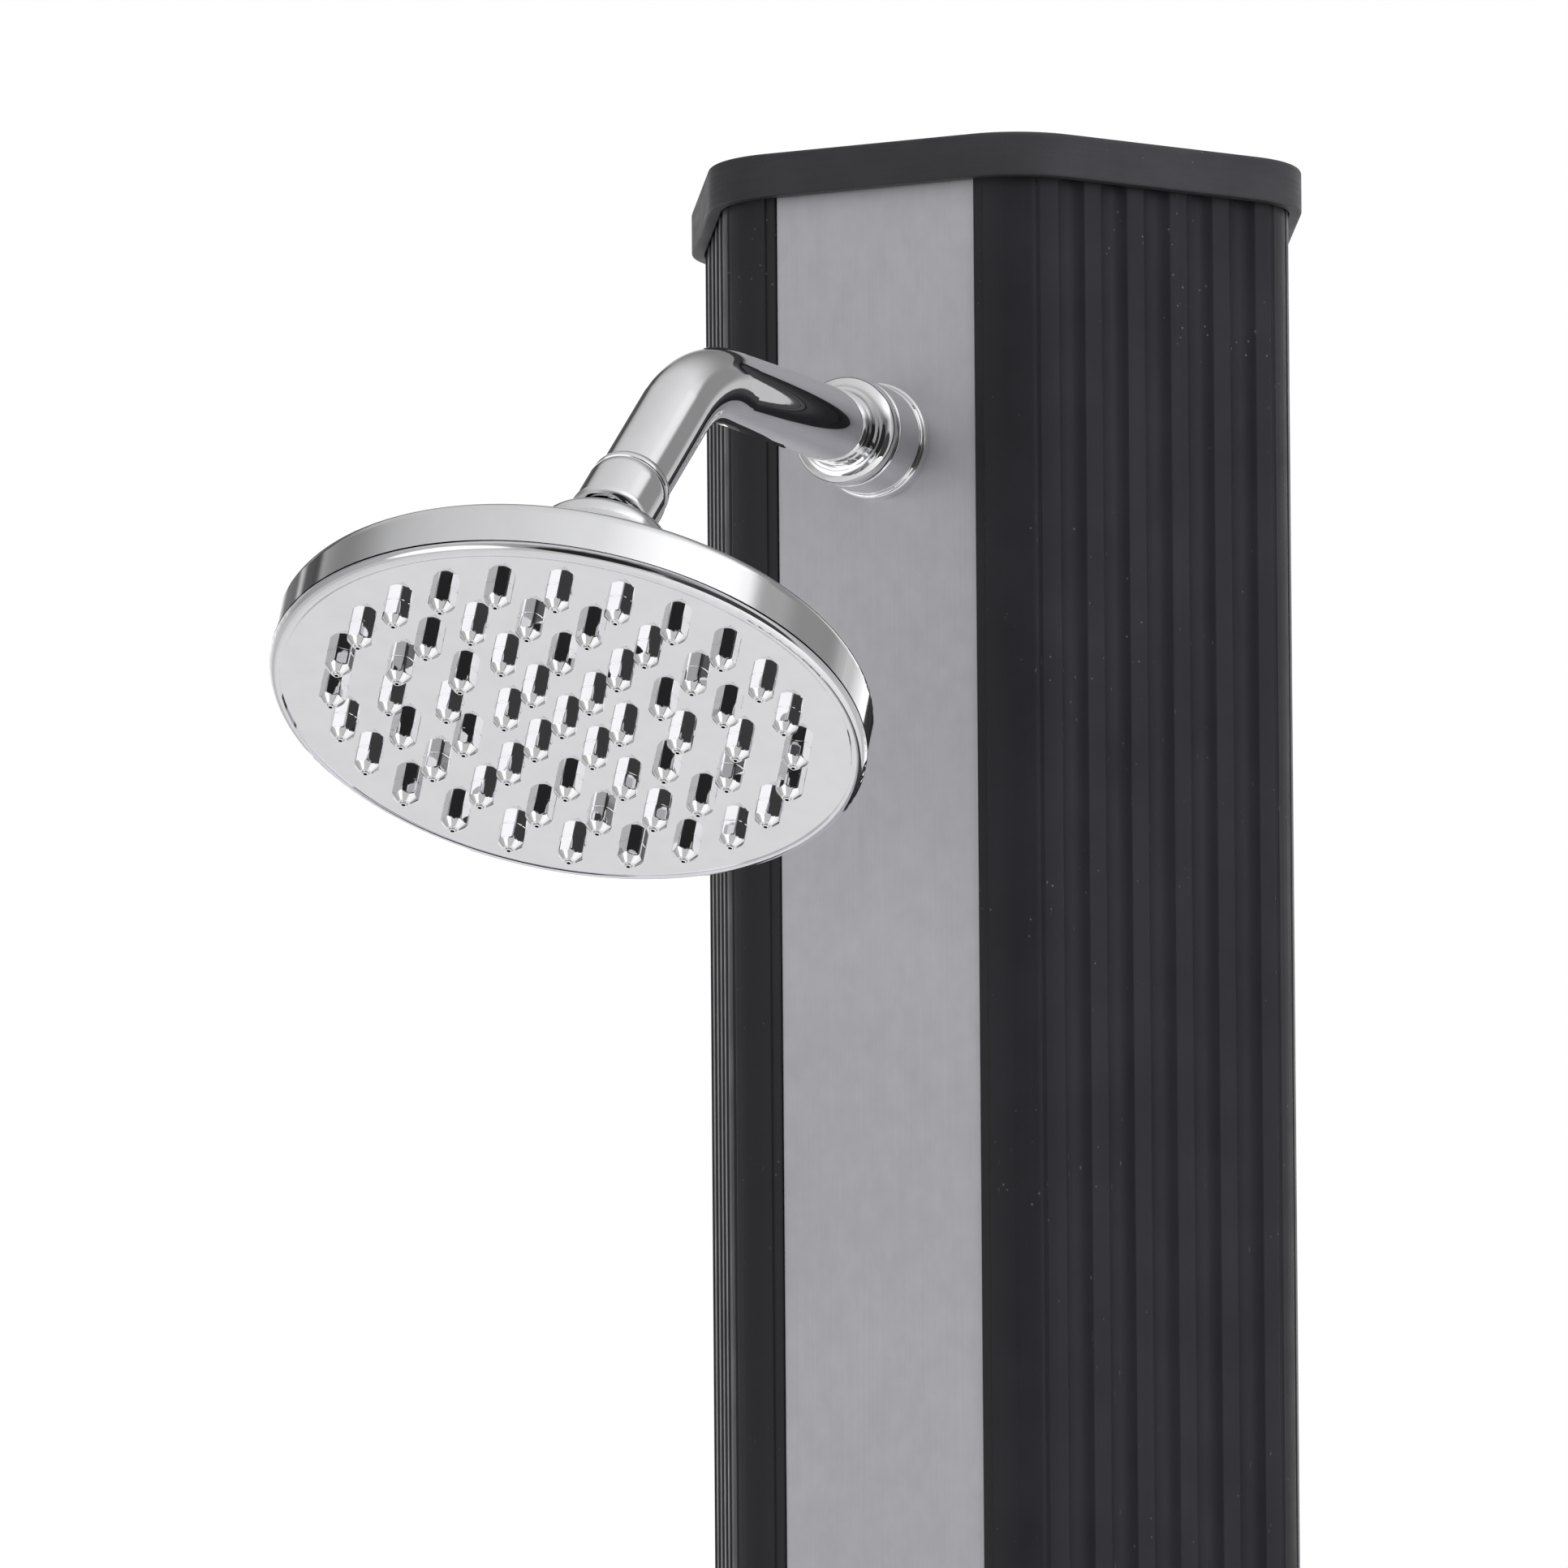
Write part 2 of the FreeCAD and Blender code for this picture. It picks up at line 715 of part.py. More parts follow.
def escutcheon_back():
    """The ring against the panel: a thin flange, a long sleeve, and the groove at its front."""
    bore = arm_outer_radius + fit
    split = escutcheon_split
    ring = turned((bore, 0), [(17.3, 0), (17.3, 2.6), ((17.1, 3.3), (16.4, 3.6)), (16.2, 3.9),
                              (16.2, split - 2.0), ((16.0, split - 1.5), (15.5, split - 1.3)),
                              (14.6, split - 1.3), (14.6, split), (bore, split)])
    return aim_front(ring, panel_face, arm_height)


def escutcheon_front():
    """The ring in front of it, with a rounded shoulder down to the arm."""
    bore = arm_outer_radius + fit
    split = escutcheon_split
    end = escutcheon_length
    ring = turned((bore, split), [
        (15.5, split), ((16.0, split + 0.2), (16.15, split + 0.7)), (16.15, end - 4),
        ((15.0, end - 1.2), (12.4, end - 0.2)), (11.6, end), (bore, end)])
    return aim_front(ring, panel_face, arm_height)


def shower_arm():
    points = [Vector(0, arm_inner_end, arm_height), arm_corner, arm_corner + tail * tail_length]
    return bent_tube(points, arm_bend_radius, arm_outer_radius, arm_inner_radius)


def swivel_nut():
    """The nut on the arm's end that holds the ball's collar, with a skirt over the socket."""
    bore = arm_outer_radius + fit
    neck = neck_hole_radius
    side = nut_radius
    nut = turned((neck, sphere_height(skirt_radius, neck)), [
        ((8.0, sphere_height(skirt_radius, 8.0)), (sphere_height(skirt_radius, skirt_low), skirt_low)),
        (side - 1.25, skirt_low), ((side - 0.35, skirt_low + 1.0), (side, skirt_low + 2.8)),
        (side, 17.0), ((side - 0.15, 19.0), (side - 0.5, 20.6)),
        (side - 0.85, 20.75), (side - 0.85, 21.3), (side - 0.5, 21.5),
        ((side - 0.6, 23.3), (side - 1.1, 24.4)), (bore, 24.4), (bore, 17.0), (9.7, 17.0),
        (9.7, 14.5), (neck, 14.5)])
    return hang_on_tail(nut)


def swivel_ball():
    ball = Part.makeSphere(ball_radius)
    neck = rod_z(neck_radius, 0, 15, 0, 0)
    collar = rod_z(9.5, 14.5, 17, 0, 0)
    ball = ball.fuse(neck).fuse(collar).cut(rod_z(neck_bore_radius, -20, 20, 0, 0))
    return hang_on_tail(ball.removeSplitter())


def nut_washer():
    ring_top_height = ball_from_corner - tail_length
    ring = rod_z(10.0, 17, ring_top_height, 0, 0)
    return hang_on_tail(ring.cut(rod_z(4.5, 17, ring_top_height, 0, 0)))


def ball_seat():
    """The plastic zone ring between the ball and its socket."""
    half_height = ball_radius / 2
    ring = Part.makeSphere(seat_outer_radius).cut(Part.makeSphere(ball_radius + fit))
    return hang_on_tail(ring.common(box(-20, 20, -20, 20, -half_height, half_height)))


# ---- Shower head --------------------------------------------------------------------

def retaining_ring():
    """The flared ring that closes the socket over the ball, with a cup for the nut's skirt."""
    mouth_z = sphere_height(socket_radius, socket_mouth_radius)
    grown = collar_radius / socket_radius
    ring = turned((socket_mouth_radius, mouth_z), [
        (socket_mouth_radius * grown, mouth_z * grown),
        ((collar_radius, 0), (sphere_height(collar_radius, cup_floor), cup_floor)),
        (sphere_height(cup_radius, cup_floor), cup_floor),
        ((sphere_height(cup_radius, cup_floor / 2), cup_floor / 2), (cup_radius, 0)),
        ((14.75, 0.5), (15.3, 0.6)), ((16.9, -0.15), (18.25, -1.1)), ((19.6, -3.0), (20.2, -6.0)),
        (15.2, -6.0), (15.2, socket_split), (socket_radius, socket_split), (socket_radius, 0),
        ((sphere_height(socket_radius, 1.9), 1.9), (socket_mouth_radius, mouth_z))])
    return hang_on_ball(ring)


def head_shell():
    """The head's bell-shaped back with its rim, and the lower half of the socket."""
    socket_r = sphere_height(socket_radius, socket_split)
    pocket_r = 4.3
    pocket_z = -sphere_height(socket_radius, pocket_r)
    mid_r = 6.3
    mid_z = -sphere_height(socket_radius, mid_r)
    rim = head_radius
    shell = turned((socket_r, socket_split), [
        (15.0, socket_split), (15.0, -6.0), (20.2, -6.0), ((50.0, -29.5), (rim - 4.5, -rim_back)),
        ((rim - 1.2, -rim_back - 1.2), (rim, -rim_back - 4.2)), (rim, -rim_front),
        (rim - 1.8, -rim_front), (rim - 1.8, -57.0), (rim - 3.5, -57.0), (rim - 3.5, -53.0),
        ((rim - 4.4, -51.2), (rim - 6.2, -50.0)), ((50.0, -32.8), (17.5, -14.0)), (3.0, -14.0),
        (3.0, -11.0), (pocket_r, -11.0), (pocket_r, pocket_z),
        ((mid_r, mid_z), (socket_r, socket_split))])
    return hang_on_ball(shell)


def ball_seal():
    """The rubber ring under the ball, in the shell's pocket."""
    reach = ball_radius + 0.15
    seal = turned((3.0, -11.0), [(4.2, -11.0), (4.2, -sphere_height(reach, 4.2)),
                                 ((3.6, -sphere_height(reach, 3.6)),
                                  (3.0, -sphere_height(reach, 3.0)))])
    return hang_on_ball(seal)


def nozzle_places():
    """Distance from the axis, polar angle and turn of every nozzle."""
    places = [(0.0, 0.0, nozzle_phase)]
    for ring in range(1, nozzle_rings + 1):
        count = 6 * ring
        for index in range(count):
            angle = nozzle_phase + 360 * index / count
            turn = angle + (30 if ring == nozzle_rings else 0)
            places.append((ring * nozzle_ring_pitch, angle, turn))
    return places


def face_plate():
    """The spray face: a flat plate with a rounded lip and a fine groove inside it."""
    back = -face_depth + plate_thickness
    lip = -face_depth - 0.2
    rim = head_radius
    plate = turned((0, back), [
        (rim - 4.6, back), (rim - 4.6, -57.0), (rim - 2.1, -57.0), (rim - 2.1, -rim_front - 0.6),
        (rim, -rim_front - 0.6), ((rim - 0.8, -64.3), (rim - 2.6, lip)), (rim - 3.5, lip),
        (rim - 3.5, -face_depth + 0.5), (rim - 4.3, -face_depth + 0.5), (rim - 4.3, -face_depth),
        (0, -face_depth)])
    holes = []
    for reach, angle, turn in nozzle_places():
        x = reach * math.cos(math.radians(angle))
        y = reach * math.sin(math.radians(angle))
        holes.append(rod_z(4.05, -face_depth - 1, back + 1, x, y))
    return hang_on_ball(plate.cut(Part.makeCompound(holes)))


def nozzle():
    """One nozzle: a hexagon with a coned end and a small nib, held by a flange behind."""
    corner = nozzle_across_corners / 2
    corners = []
    for index in range(7):
        angle = math.radians(60 * index + 30)
        corners.append(Vector(corner * math.cos(angle), corner * math.sin(angle), -face_depth))
    stem = Part.Face(Part.makePolygon(corners)).extrude(Vector(0, 0, -nozzle_length))
    tip = -face_depth - nozzle_length
    blunt = turned((0, -face_depth), [(corner, -face_depth), (corner, -face_depth - nozzle_straight),
                                      (1.8, tip), (0, tip)])
    flange_low = -face_depth + plate_thickness
    body = stem.common(blunt)
    body = body.fuse(rod_z(1.2, tip - nib_length, tip + 1, 0, 0))
    body = body.fuse(rod_z(4.0, -face_depth, flange_low, 0, 0))
    body = body.fuse(rod_z(5.0, flange_low, flange_low + 1.2, 0, 0))
    return body.cut(rod_z(nozzle_bore, tip - nib_length, flange_low + 1.2, 0, 0))


def spray_nozzles():
    nozzles = []
    pattern = nozzle()
    for reach, angle, turn in nozzle_places():
        piece = pattern.copy()
        piece.rotate(Vector(), Z_AXIS, turn)
        piece.translate(Vector(reach * math.cos(math.radians(angle)),
                               reach * math.sin(math.radians(angle)), 0))
        nozzles.append(hang_on_ball(piece))
    return Part.makeCompound(nozzles)


# ---- Mixer --------------------------------------------------------------------------

mixer_front = panel_face - rosette_thickness - mixer_length
dome_centre = Vector(0, mixer_front - dome_ahead, mixer_height)
pivot_y = dome_centre.y


def mixer_rosette():
    ring = turned((17.0, 0), [(rosette_radius, 0), (rosette_radius, 1.2),
                              ((30.0, 3.0), (26.5, rosette_thickness)), (17.0, rosette_thickness)])
    return aim_front(ring, panel_face, mixer_height)


def mixer_body():
    """The round body with its tail through the panel and the cartridge's bore."""
    tail_back = panel_face - block_front
    front = rosette_thickness + mixer_length
    bore = cartridge_radius + 0.1
    body = turned((0, tail_back), [
        (mixer_tail_radius, tail_back), (mixer_tail_radius, rosette_thickness),
        (mixer_radius, rosette_thickness), (mixer_radius, front - 2.5),
        ((22.3, front - 0.7), (20.5, front)), (bore, front), (bore, cartridge_seat),
        (0, cartridge_seat)])
    body = aim_front(body, panel_face, mixer_height)
    for x, z in mixer_ports():
        body = body.cut(rod_y(mixer_port_radius, panel_face - cartridge_seat - 1, block_front, x,
                              mixer_height + z))
    return body


def mixer_cartridge():
    body = rod_y(cartridge_radius, mixer_front + 0.2, panel_face - cartridge_seat, 0, mixer_height)
    return body.cut(rod_y(stem_radius + fit, mixer_front, mixer_front + 7, 0, mixer_height))


def mixer_dome():
    """The fixed ball that the handle slides over, open at its front for the lever's stem."""
    dome = Part.makeSphere(dome_radius, dome_centre)
    dome = dome.cut(Part.makeSphere(dome_radius - dome_wall, dome_centre))
    dome = dome.cut(box(-50, 50, mixer_front, mixer_front + 60, mixer_height - 50,
                        mixer_height + 50))
    opening = Part.makeCone(0, 27, 30, dome_centre, Y_AXIS * -1)
    return dome.cut(opening)


def pin_along_x(radius, length):
    """A cylinder across the mixer's pivot."""
    return Part.makeCylinder(radius, length, Vector(-length / 2, pivot_y, mixer_height), X_AXIS)


def mixer_spindle():
    """The cartridge's stem, with the fork that carries the lever's pin."""
    half = fork_width / 2
    stem = rod_y(stem_radius, mixer_front - 3, mixer_front + 6, 0, mixer_height)
    fork = box(-half, half, pivot_y - 4, pivot_y + 8.5, mixer_height - 4.5, mixer_height + 4.5)
    slot = box(-3.6, 3.6, pivot_y - 5, pivot_y + 5, mixer_height - 5, mixer_height + 5)
    return stem.fuse(fork).cut(slot).cut(pin_along_x(lever_pin_radius, fork_width + 2))


def lever_pin():
    return pin_along_x(lever_pin_radius, fork_width)


def mixer_handle():
    """The cup over the dome, the stem inside it, and the lever that hangs from its front."""
    inner = dome_radius + handle_gap
    cup = Part.makeSphere(inner + handle_wall, dome_centre)
    cup = cup.cut(Part.makeSphere(inner, dome_centre))
    cup = cup.cut(box(-50, 50, pivot_y - 4, pivot_y + 60, mixer_height - 50, mixer_height + 50))
    profile = [(-15.0, 12.0), (-22.0, 14.0), (-27.0, 8.0), (-29.5, -6.0), (-38.0, -84.0),
               (-35.5, -88.0), (-32.0, -87.0), (-23.0, -14.0), (-17.0, -10.0)]
    side = lever_width / 2
    corners = [Vector(-side, pivot_y + y, mixer_height + z) for y, z in profile]
    lever = Part.Face(Part.makePolygon(corners + corners[:1])).extrude(Vector(lever_width, 0, 0))
    lever = rounded_edges(lever, 2.0, lambda point, edge: abs(abs(point.x) - side) < 0.01)
    lever = lever.cut(Part.makeSphere(inner, dome_centre))
    stem = box(-3.3, 3.3, pivot_y - 22, pivot_y, mixer_height - 3.5, mixer_height + 3.5)
    stem = stem.fuse(pin_along_x(4.2, 6.6)).cut(pin_along_x(lever_pin_radius + fit, 20))
    return cup.fuse(lever).fuse(stem).removeSplitter()


# ---- Foot tap -----------------------------------------------------------------------

foot_tap_reach = foot_rosette_thickness + foot_tap_length
foot_tap_front = panel_face - foot_tap_reach
spout_y = panel_face - 24.0
spout_end = foot_tap_height - spout_drop


def foot_tap_rosette():
    bore = foot_tail_radius + 0.4
    ring = turned((bore, 0), [(20.0, 0), (20.0, 1.0), ((19.0, 2.4), (16.5, foot_rosette_thickness)),
                              (bore, foot_rosette_thickness)])
    return aim_front(ring, panel_face, foot_tap_height)


def foot_tap_body():
    """The tap's body with its tail, its spout turned down and the bonnet at its front."""
    tail_back = panel_face - block_front
    front = foot_tap_reach
    body = turned((0, tail_back), [
        (foot_tail_radius, tail_back), (foot_tail_radius, foot_rosette_thickness),
        (foot_tap_radius, foot_rosette_thickness), (foot_tap_radius, front - 6),
        (10.0, front - 3.5), (10.0, front), (0, front)])
    body = aim_front(body, panel_face, foot_tap_height)
    body = body.fuse(rod_z(spout_radius, spout_end, foot_tap_height, 0, spout_y))
    body = body.cut(rod_y(foot_spindle_radius + fit, foot_tap_front - 1, foot_tap_front + 20, 0,
                          foot_tap_height))
    body = body.cut(rod_y(channel_radius, spout_y, block_front, 0, foot_tap_height))
    return body.cut(rod_z(spout_bore_radius, spout_end, foot_tap_height, 0, spout_y))


def foot_tap_aerator():
    low = spout_end - 6
    body = rod_z(9.5, low, spout_end + 6, 0, spout_y)
    body = rounded_edges(body, 1.0, lambda point, edge: True)
    body = body.cut(rod_z(spout_radius + fit, spout_end, foot_tap_height, 0, spout_y))
    return body.cut(rod_z(5.0, low, foot_tap_height, 0, spout_y))


def foot_tap_spindle():
    return rod_y(foot_spindle_radius, foot_tap_front - 12, foot_tap_front + 10, 0,
                 foot_tap_height)


def foot_tap_handle():
    """The hub on the spindle, with its short lever pointing up."""
    back = foot_tap_reach + 1.0
    front = back + foot_hub_length
    bore = foot_spindle_radius
    hub = turned((bore, back), [(10.5, back), (11.0, back + 0.6), (11.0, front - 2),
                                ((10.3, front - 0.6), (8.8, front)), (bore, front)])
    hub = aim_front(hub, panel_face, foot_tap_height)
    profile = [(-3.0, 6.0), (-12.0, 6.0), (-15.5, 44.0), (-12.0, 47.0), (-8.5, 44.0)]
    side = foot_lever_width / 2
    corners = [Vector(-side, panel_face - back + y, foot_tap_height + z) for y, z in profile]
    lever = Part.Face(Part.makePolygon(corners + corners[:1]))
    lever = lever.extrude(Vector(foot_lever_width, 0, 0))
    lever = rounded_edges(lever, 1.6, lambda point, edge: abs(abs(point.x) - side) < 0.01)
    return hub.fuse(lever).removeSplitter()


def foot_handle_button():
    """The plain round button that covers the handle's middle."""
    stem = foot_spindle_radius
    button = turned((0, 0), [(stem, 0), (stem, 3.0), (6.2, 3.0), (6.2, 3.8),
                             ((5.9, 4.7), (5.0, 5.2)), (0, 5.2)])
    return aim_front(button, foot_tap_front - 12, foot_tap_height)


# ---- Write the sub-parts ------------------------------------------------------------

sub_parts = (
    base_plate, foot_collar, column_shell, column_screws, front_panel, top_cap,
    tank_tube, tank_bottom_cap, tank_top_cap, tank_stand, tank_spacer,
    inlet_nipple, inlet_nut, inlet_seal, inlet_manifold, tank_feed_pipe,
    drain_nipple, drain_seal, drain_cap,
    cold_pipe_lower, cold_pipe_upper, hot_pipe, riser_pipe, foot_tee, mixer_manifold,
    arm_elbow, arm_lock_nut, escutcheon_back, escutcheon_front, shower_arm,
    swivel_nut, swivel_ball, nut_washer, ball_seat,
    retaining_ring, head_shell, ball_seal, face_plate, spray_nozzles,
    mixer_rosette, mixer_body, mixer_cartridge, mixer_dome, mixer_spindle, lever_pin,
    mixer_handle,
    foot_tap_rosette, foot_tap_body, foot_tap_aerator, foot_tap_spindle, foot_tap_handle,
    foot_handle_button,
)

os.makedirs("parts", exist_ok=True)
for sub_part in sub_parts:
    shape = sub_part()
    shape.exportStep("parts/" + sub_part.__name__ + ".step")
    volume = sum(solid.Volume for solid in shape.Solids)
    print(sub_part.__name__, "solids", len(shape.Solids), "valid", shape.isValid(),
          "cm3", round(volume / 1000, 2))
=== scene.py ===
import json
import math

import bmesh
import bpy
from mathutils import Matrix, Vector


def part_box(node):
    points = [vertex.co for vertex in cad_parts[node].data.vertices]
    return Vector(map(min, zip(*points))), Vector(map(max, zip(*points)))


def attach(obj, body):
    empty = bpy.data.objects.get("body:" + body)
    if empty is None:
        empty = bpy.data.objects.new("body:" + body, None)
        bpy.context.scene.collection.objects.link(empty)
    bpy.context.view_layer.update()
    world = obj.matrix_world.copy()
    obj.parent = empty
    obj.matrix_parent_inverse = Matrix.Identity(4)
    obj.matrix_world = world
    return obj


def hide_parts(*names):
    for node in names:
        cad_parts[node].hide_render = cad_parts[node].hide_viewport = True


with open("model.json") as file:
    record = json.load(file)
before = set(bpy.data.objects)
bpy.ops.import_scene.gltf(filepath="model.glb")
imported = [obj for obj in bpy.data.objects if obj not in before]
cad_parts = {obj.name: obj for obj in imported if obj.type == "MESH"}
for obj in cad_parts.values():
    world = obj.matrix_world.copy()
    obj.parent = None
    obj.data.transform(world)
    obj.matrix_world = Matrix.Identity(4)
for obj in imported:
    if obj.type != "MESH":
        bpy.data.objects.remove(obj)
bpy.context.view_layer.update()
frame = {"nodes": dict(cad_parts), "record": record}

MM = 0.001


# ---- Material building blocks -------------------------------------------------------

class Finish:
    """A procedural material: one Principled shader and the nodes that feed it."""

    def __init__(self, name, **constants):
        self.material = bpy.data.materials.new(name)
        self.material.use_nodes = True
        self.tree = self.material.node_tree
        self.shader = self.tree.nodes["Principled BSDF"]
        self.place = self.add("ShaderNodeTexCoord").outputs["Object"]
        self.last_bump = None
        for socket, value in constants.items():
            self.set(socket.replace("_", " "), value)

    def add(self, kind, **settings):
        node = self.tree.nodes.new(kind)
        for name, value in settings.items():
            setattr(node, name, value)
        return node

    def put(self, socket, value):
        """Give an input a constant or the output of another node."""
        if isinstance(value, bpy.types.NodeSocket):
            self.tree.links.new(value, socket)
        elif hasattr(value, "__len__") and len(value) == 3 and len(socket.default_value) == 4:
            socket.default_value = (*value, 1.0)
        else:
            socket.default_value = value

    def set(self, socket, value):
        self.put(self.shader.inputs[socket], value)

    def noise(self, size, detail=2.0, stretch=(1, 1, 1), seed=0.0):
        """Noise from 0 to 1 with blotches of that size in metres, drawn out by stretch."""
        scaled = self.add("ShaderNodeMapping")
        self.put(scaled.inputs["Vector"], self.place)
        scaled.inputs["Scale"].default_value = [1 / (size * s) for s in stretch]
        scaled.inputs["Location"].default_value = (seed, 2 * seed, 3 * seed)
        pattern = self.add("ShaderNodeTexNoise")
        self.put(pattern.inputs["Vector"], scaled.outputs["Vector"])
        pattern.inputs["Scale"].default_value = 1.0
        pattern.inputs["Detail"].default_value = detail
        return pattern.outputs["Fac"]

    def cells(self, size, seed=0.0):
        """Distance to the nearest of many points that are about size apart."""
        scaled = self.add("ShaderNodeMapping")
        self.put(scaled.inputs["Vector"], self.place)
        scaled.inputs["Scale"].default_value = [1 / size] * 3
        scaled.inputs["Location"].default_value = (seed, 2 * seed, 3 * seed)
        pattern = self.add("ShaderNodeTexVoronoi")
        self.put(pattern.inputs["Vector"], scaled.outputs["Vector"])
        pattern.inputs["Scale"].default_value = 1.0
        return pattern.outputs["Distance"]

    def remap(self, value, low, high, to_low, to_high):
        ranged = self.add("ShaderNodeMapRange")
        self.put(ranged.inputs["Value"], value)
        for socket, number in (("From Min", low), ("From Max", high),
                               ("To Min", to_low), ("To Max", to_high)):
            ranged.inputs[socket].default_value = number
        return ranged.outputs["Result"]

    def maths(self, operation, first, second):
        node = self.add("ShaderNodeMath", operation=operation)
        self.put(node.inputs[0], first)
        self.put(node.inputs[1], second)
        return node.outputs["Value"]

    def mix(self, factor, first, second):
        node = self.add("ShaderNodeMix", data_type="RGBA")
        self.put(node.inputs["Factor"], factor)
        self.put(node.inputs[6], first)
        self.put(node.inputs[7], second)
        return node.outputs[2]

    def soft_edges(self, radius):
        """Catch the light on edges as if they were rounded off."""
        node = self.add("ShaderNodeBevel", samples=6)
        node.inputs["Radius"].default_value = radius
        self.last_bump = node.outputs["Normal"]
        self.set("Normal", self.last_bump)

    def at_edges(self):
        """1 on the softened edges and 0 on the faces between them."""
        face = self.add("ShaderNodeNewGeometry").outputs["Normal"]
        along = self.add("ShaderNodeVectorMath", operation="DOT_PRODUCT")
        self.put(along.inputs[0], self.last_bump)
        self.put(along.inputs[1], face)
        return self.remap(along.outputs["Value"], 0.995, 0.94, 0.0, 1.0)

    def bump(self, height, depth, strength=1.0):
        """Lay another relief, of that depth in metres, over the ones before it."""
        node = self.add("ShaderNodeBump")
        node.inputs["Strength"].default_value = strength
        node.inputs["Distance"].default_value = depth
        self.put(node.inputs["Height"], height)
        if self.last_bump:
            self.put(node.inputs["Normal"], self.last_bump)
        self.last_bump = node.outputs["Normal"]
        self.set("Normal", self.last_bump)


def blotches(finish, dark, light, size, detail=4.0, seed=0.0):
    """Base colour that wanders softly between two shades."""
    wander = finish.remap(finish.noise(size, detail, seed=seed), 0.3, 0.7, 0.0, 1.0)
    colour = finish.mix(wander, dark, light)
    finish.set("Base Color", colour)
    return colour


def dusted(finish, colour, dust, amount, size=0.6 * MM, seed=0.0):
    """Sparse pale specks of dust over a colour."""
    speck = finish.remap(finish.cells(6 * size, seed), 0.10, 0.06, 0.0, amount)
    there = finish.remap(finish.noise(40 * MM, 2.0, seed=seed + 3), 0.5, 0.62, 0.0, 1.0)
    finish.set("Base Color", finish.mix(finish.maths("MULTIPLY", speck, there), colour, dust))


# ---- The finishes -------------------------------------------------------------------

def powder_coat():
    """Matt black powder coating on the extrusion: fine orange peel and faint draw lines."""
    finish = Finish("powder_coat", IOR=1.5, Specular_IOR_Level=0.45,
                    Specular_Tint=(0.94, 0.93, 1.0))
    finish.soft_edges(0.45 * MM)
    rubbed = finish.at_edges()
    colour = blotches(finish, (0.0105, 0.0100, 0.0130), (0.0160, 0.0155, 0.0195), 30 * MM)
    dusted(finish, colour, (0.20, 0.20, 0.20), 0.5)
    streaks = finish.noise(1.1 * MM, 3.0, stretch=(1, 1, 300), seed=5)
    peel = finish.noise(1.3 * MM, 2.0)
    grain = finish.noise(0.28 * MM, 1.0, seed=2)
    rough = finish.maths("ADD", finish.remap(streaks, 0.3, 0.7, -0.04, 0.05),
                         finish.remap(finish.noise(14 * MM, 4.0, seed=8), 0.3, 0.7, 0.40, 0.50))
    finish.set("Roughness", finish.maths("SUBTRACT", rough, finish.remap(rubbed, 0, 1, 0, 0.2)))
    finish.bump(peel, 0.05 * MM, 0.5)
    finish.bump(grain, 0.012 * MM, 0.5)
    finish.bump(streaks, 0.02 * MM, 0.5)
    return finish.material


def cast_coat():
    """The same coating over a casting: a coarser, slightly pitted skin."""
    finish = Finish("cast_coat", IOR=1.5, Specular_IOR_Level=0.4)
    colour = blotches(finish, (0.014, 0.014, 0.016), (0.023, 0.023, 0.025), 22 * MM)
    dusted(finish, colour, (0.25, 0.24, 0.22), 0.6, seed=4)
    finish.set("Roughness", finish.remap(finish.noise(9 * MM, 4.0), 0.3, 0.7, 0.46, 0.62))
    finish.bump(finish.noise(1.8 * MM, 3.0), 0.12 * MM, 0.6)
    finish.bump(finish.noise(0.4 * MM, 2.0, seed=3), 0.03 * MM, 0.6)
    return finish.material


def grained_plastic():
    """Charcoal moulded plastic with a fine spark-eroded grain and faint scuffs."""
    finish = Finish("grained_plastic", IOR=1.49, Specular_IOR_Level=0.45,
                    Specular_Tint=(0.95, 0.94, 1.0))
    finish.soft_edges(0.5 * MM)
    colour = blotches(finish, (0.032, 0.0315, 0.036), (0.043, 0.0425, 0.048), 18 * MM)
    dusted(finish, colour, (0.22, 0.22, 0.22), 0.4, seed=6)
    scuffs = finish.noise(3 * MM, 5.0, stretch=(5, 5, 0.35), seed=7)
    finish.set("Roughness", finish.remap(scuffs, 0.35, 0.75, 0.60, 0.48))
    finish.bump(finish.cells(0.45 * MM, seed=1), 0.035 * MM, 0.6)
    finish.bump(finish.noise(0.9 * MM, 3.0), 0.05 * MM, 0.4)
    return finish.material


def satin_strip():
    """Silver anodised aluminium, brushed along its length."""
    finish = Finish("satin_strip", Metallic=0.6, Anisotropic=0.35)
    finish.soft_edges(0.4 * MM)
    brushing = finish.noise(0.35 * MM, 4.0, stretch=(1, 1, 220))
    clouds = finish.noise(60 * MM, 5.0, seed=2)
    mottle = finish.noise(5 * MM, 4.0, stretch=(1, 1, 1.4), seed=12)
    wander = finish.maths("ADD", finish.remap(clouds, 0.3, 0.7, 0.0, 0.35),
                          finish.remap(mottle, 0.3, 0.7, 0.0, 0.35))
    shade = finish.maths("ADD", finish.remap(brushing, 0.3, 0.7, 0.0, 0.30), wander)
    finish.set("Base Color", finish.mix(shade, (0.560, 0.553, 0.590), (0.680, 0.672, 0.712)))
    finish.set("Roughness", finish.remap(brushing, 0.3, 0.7, 0.38, 0.48))
    finish.bump(brushing, 0.01 * MM, 0.5)
    finish.bump(finish.noise(0.5 * MM, 2.0, seed=9), 0.008 * MM, 0.5)
    return finish.material


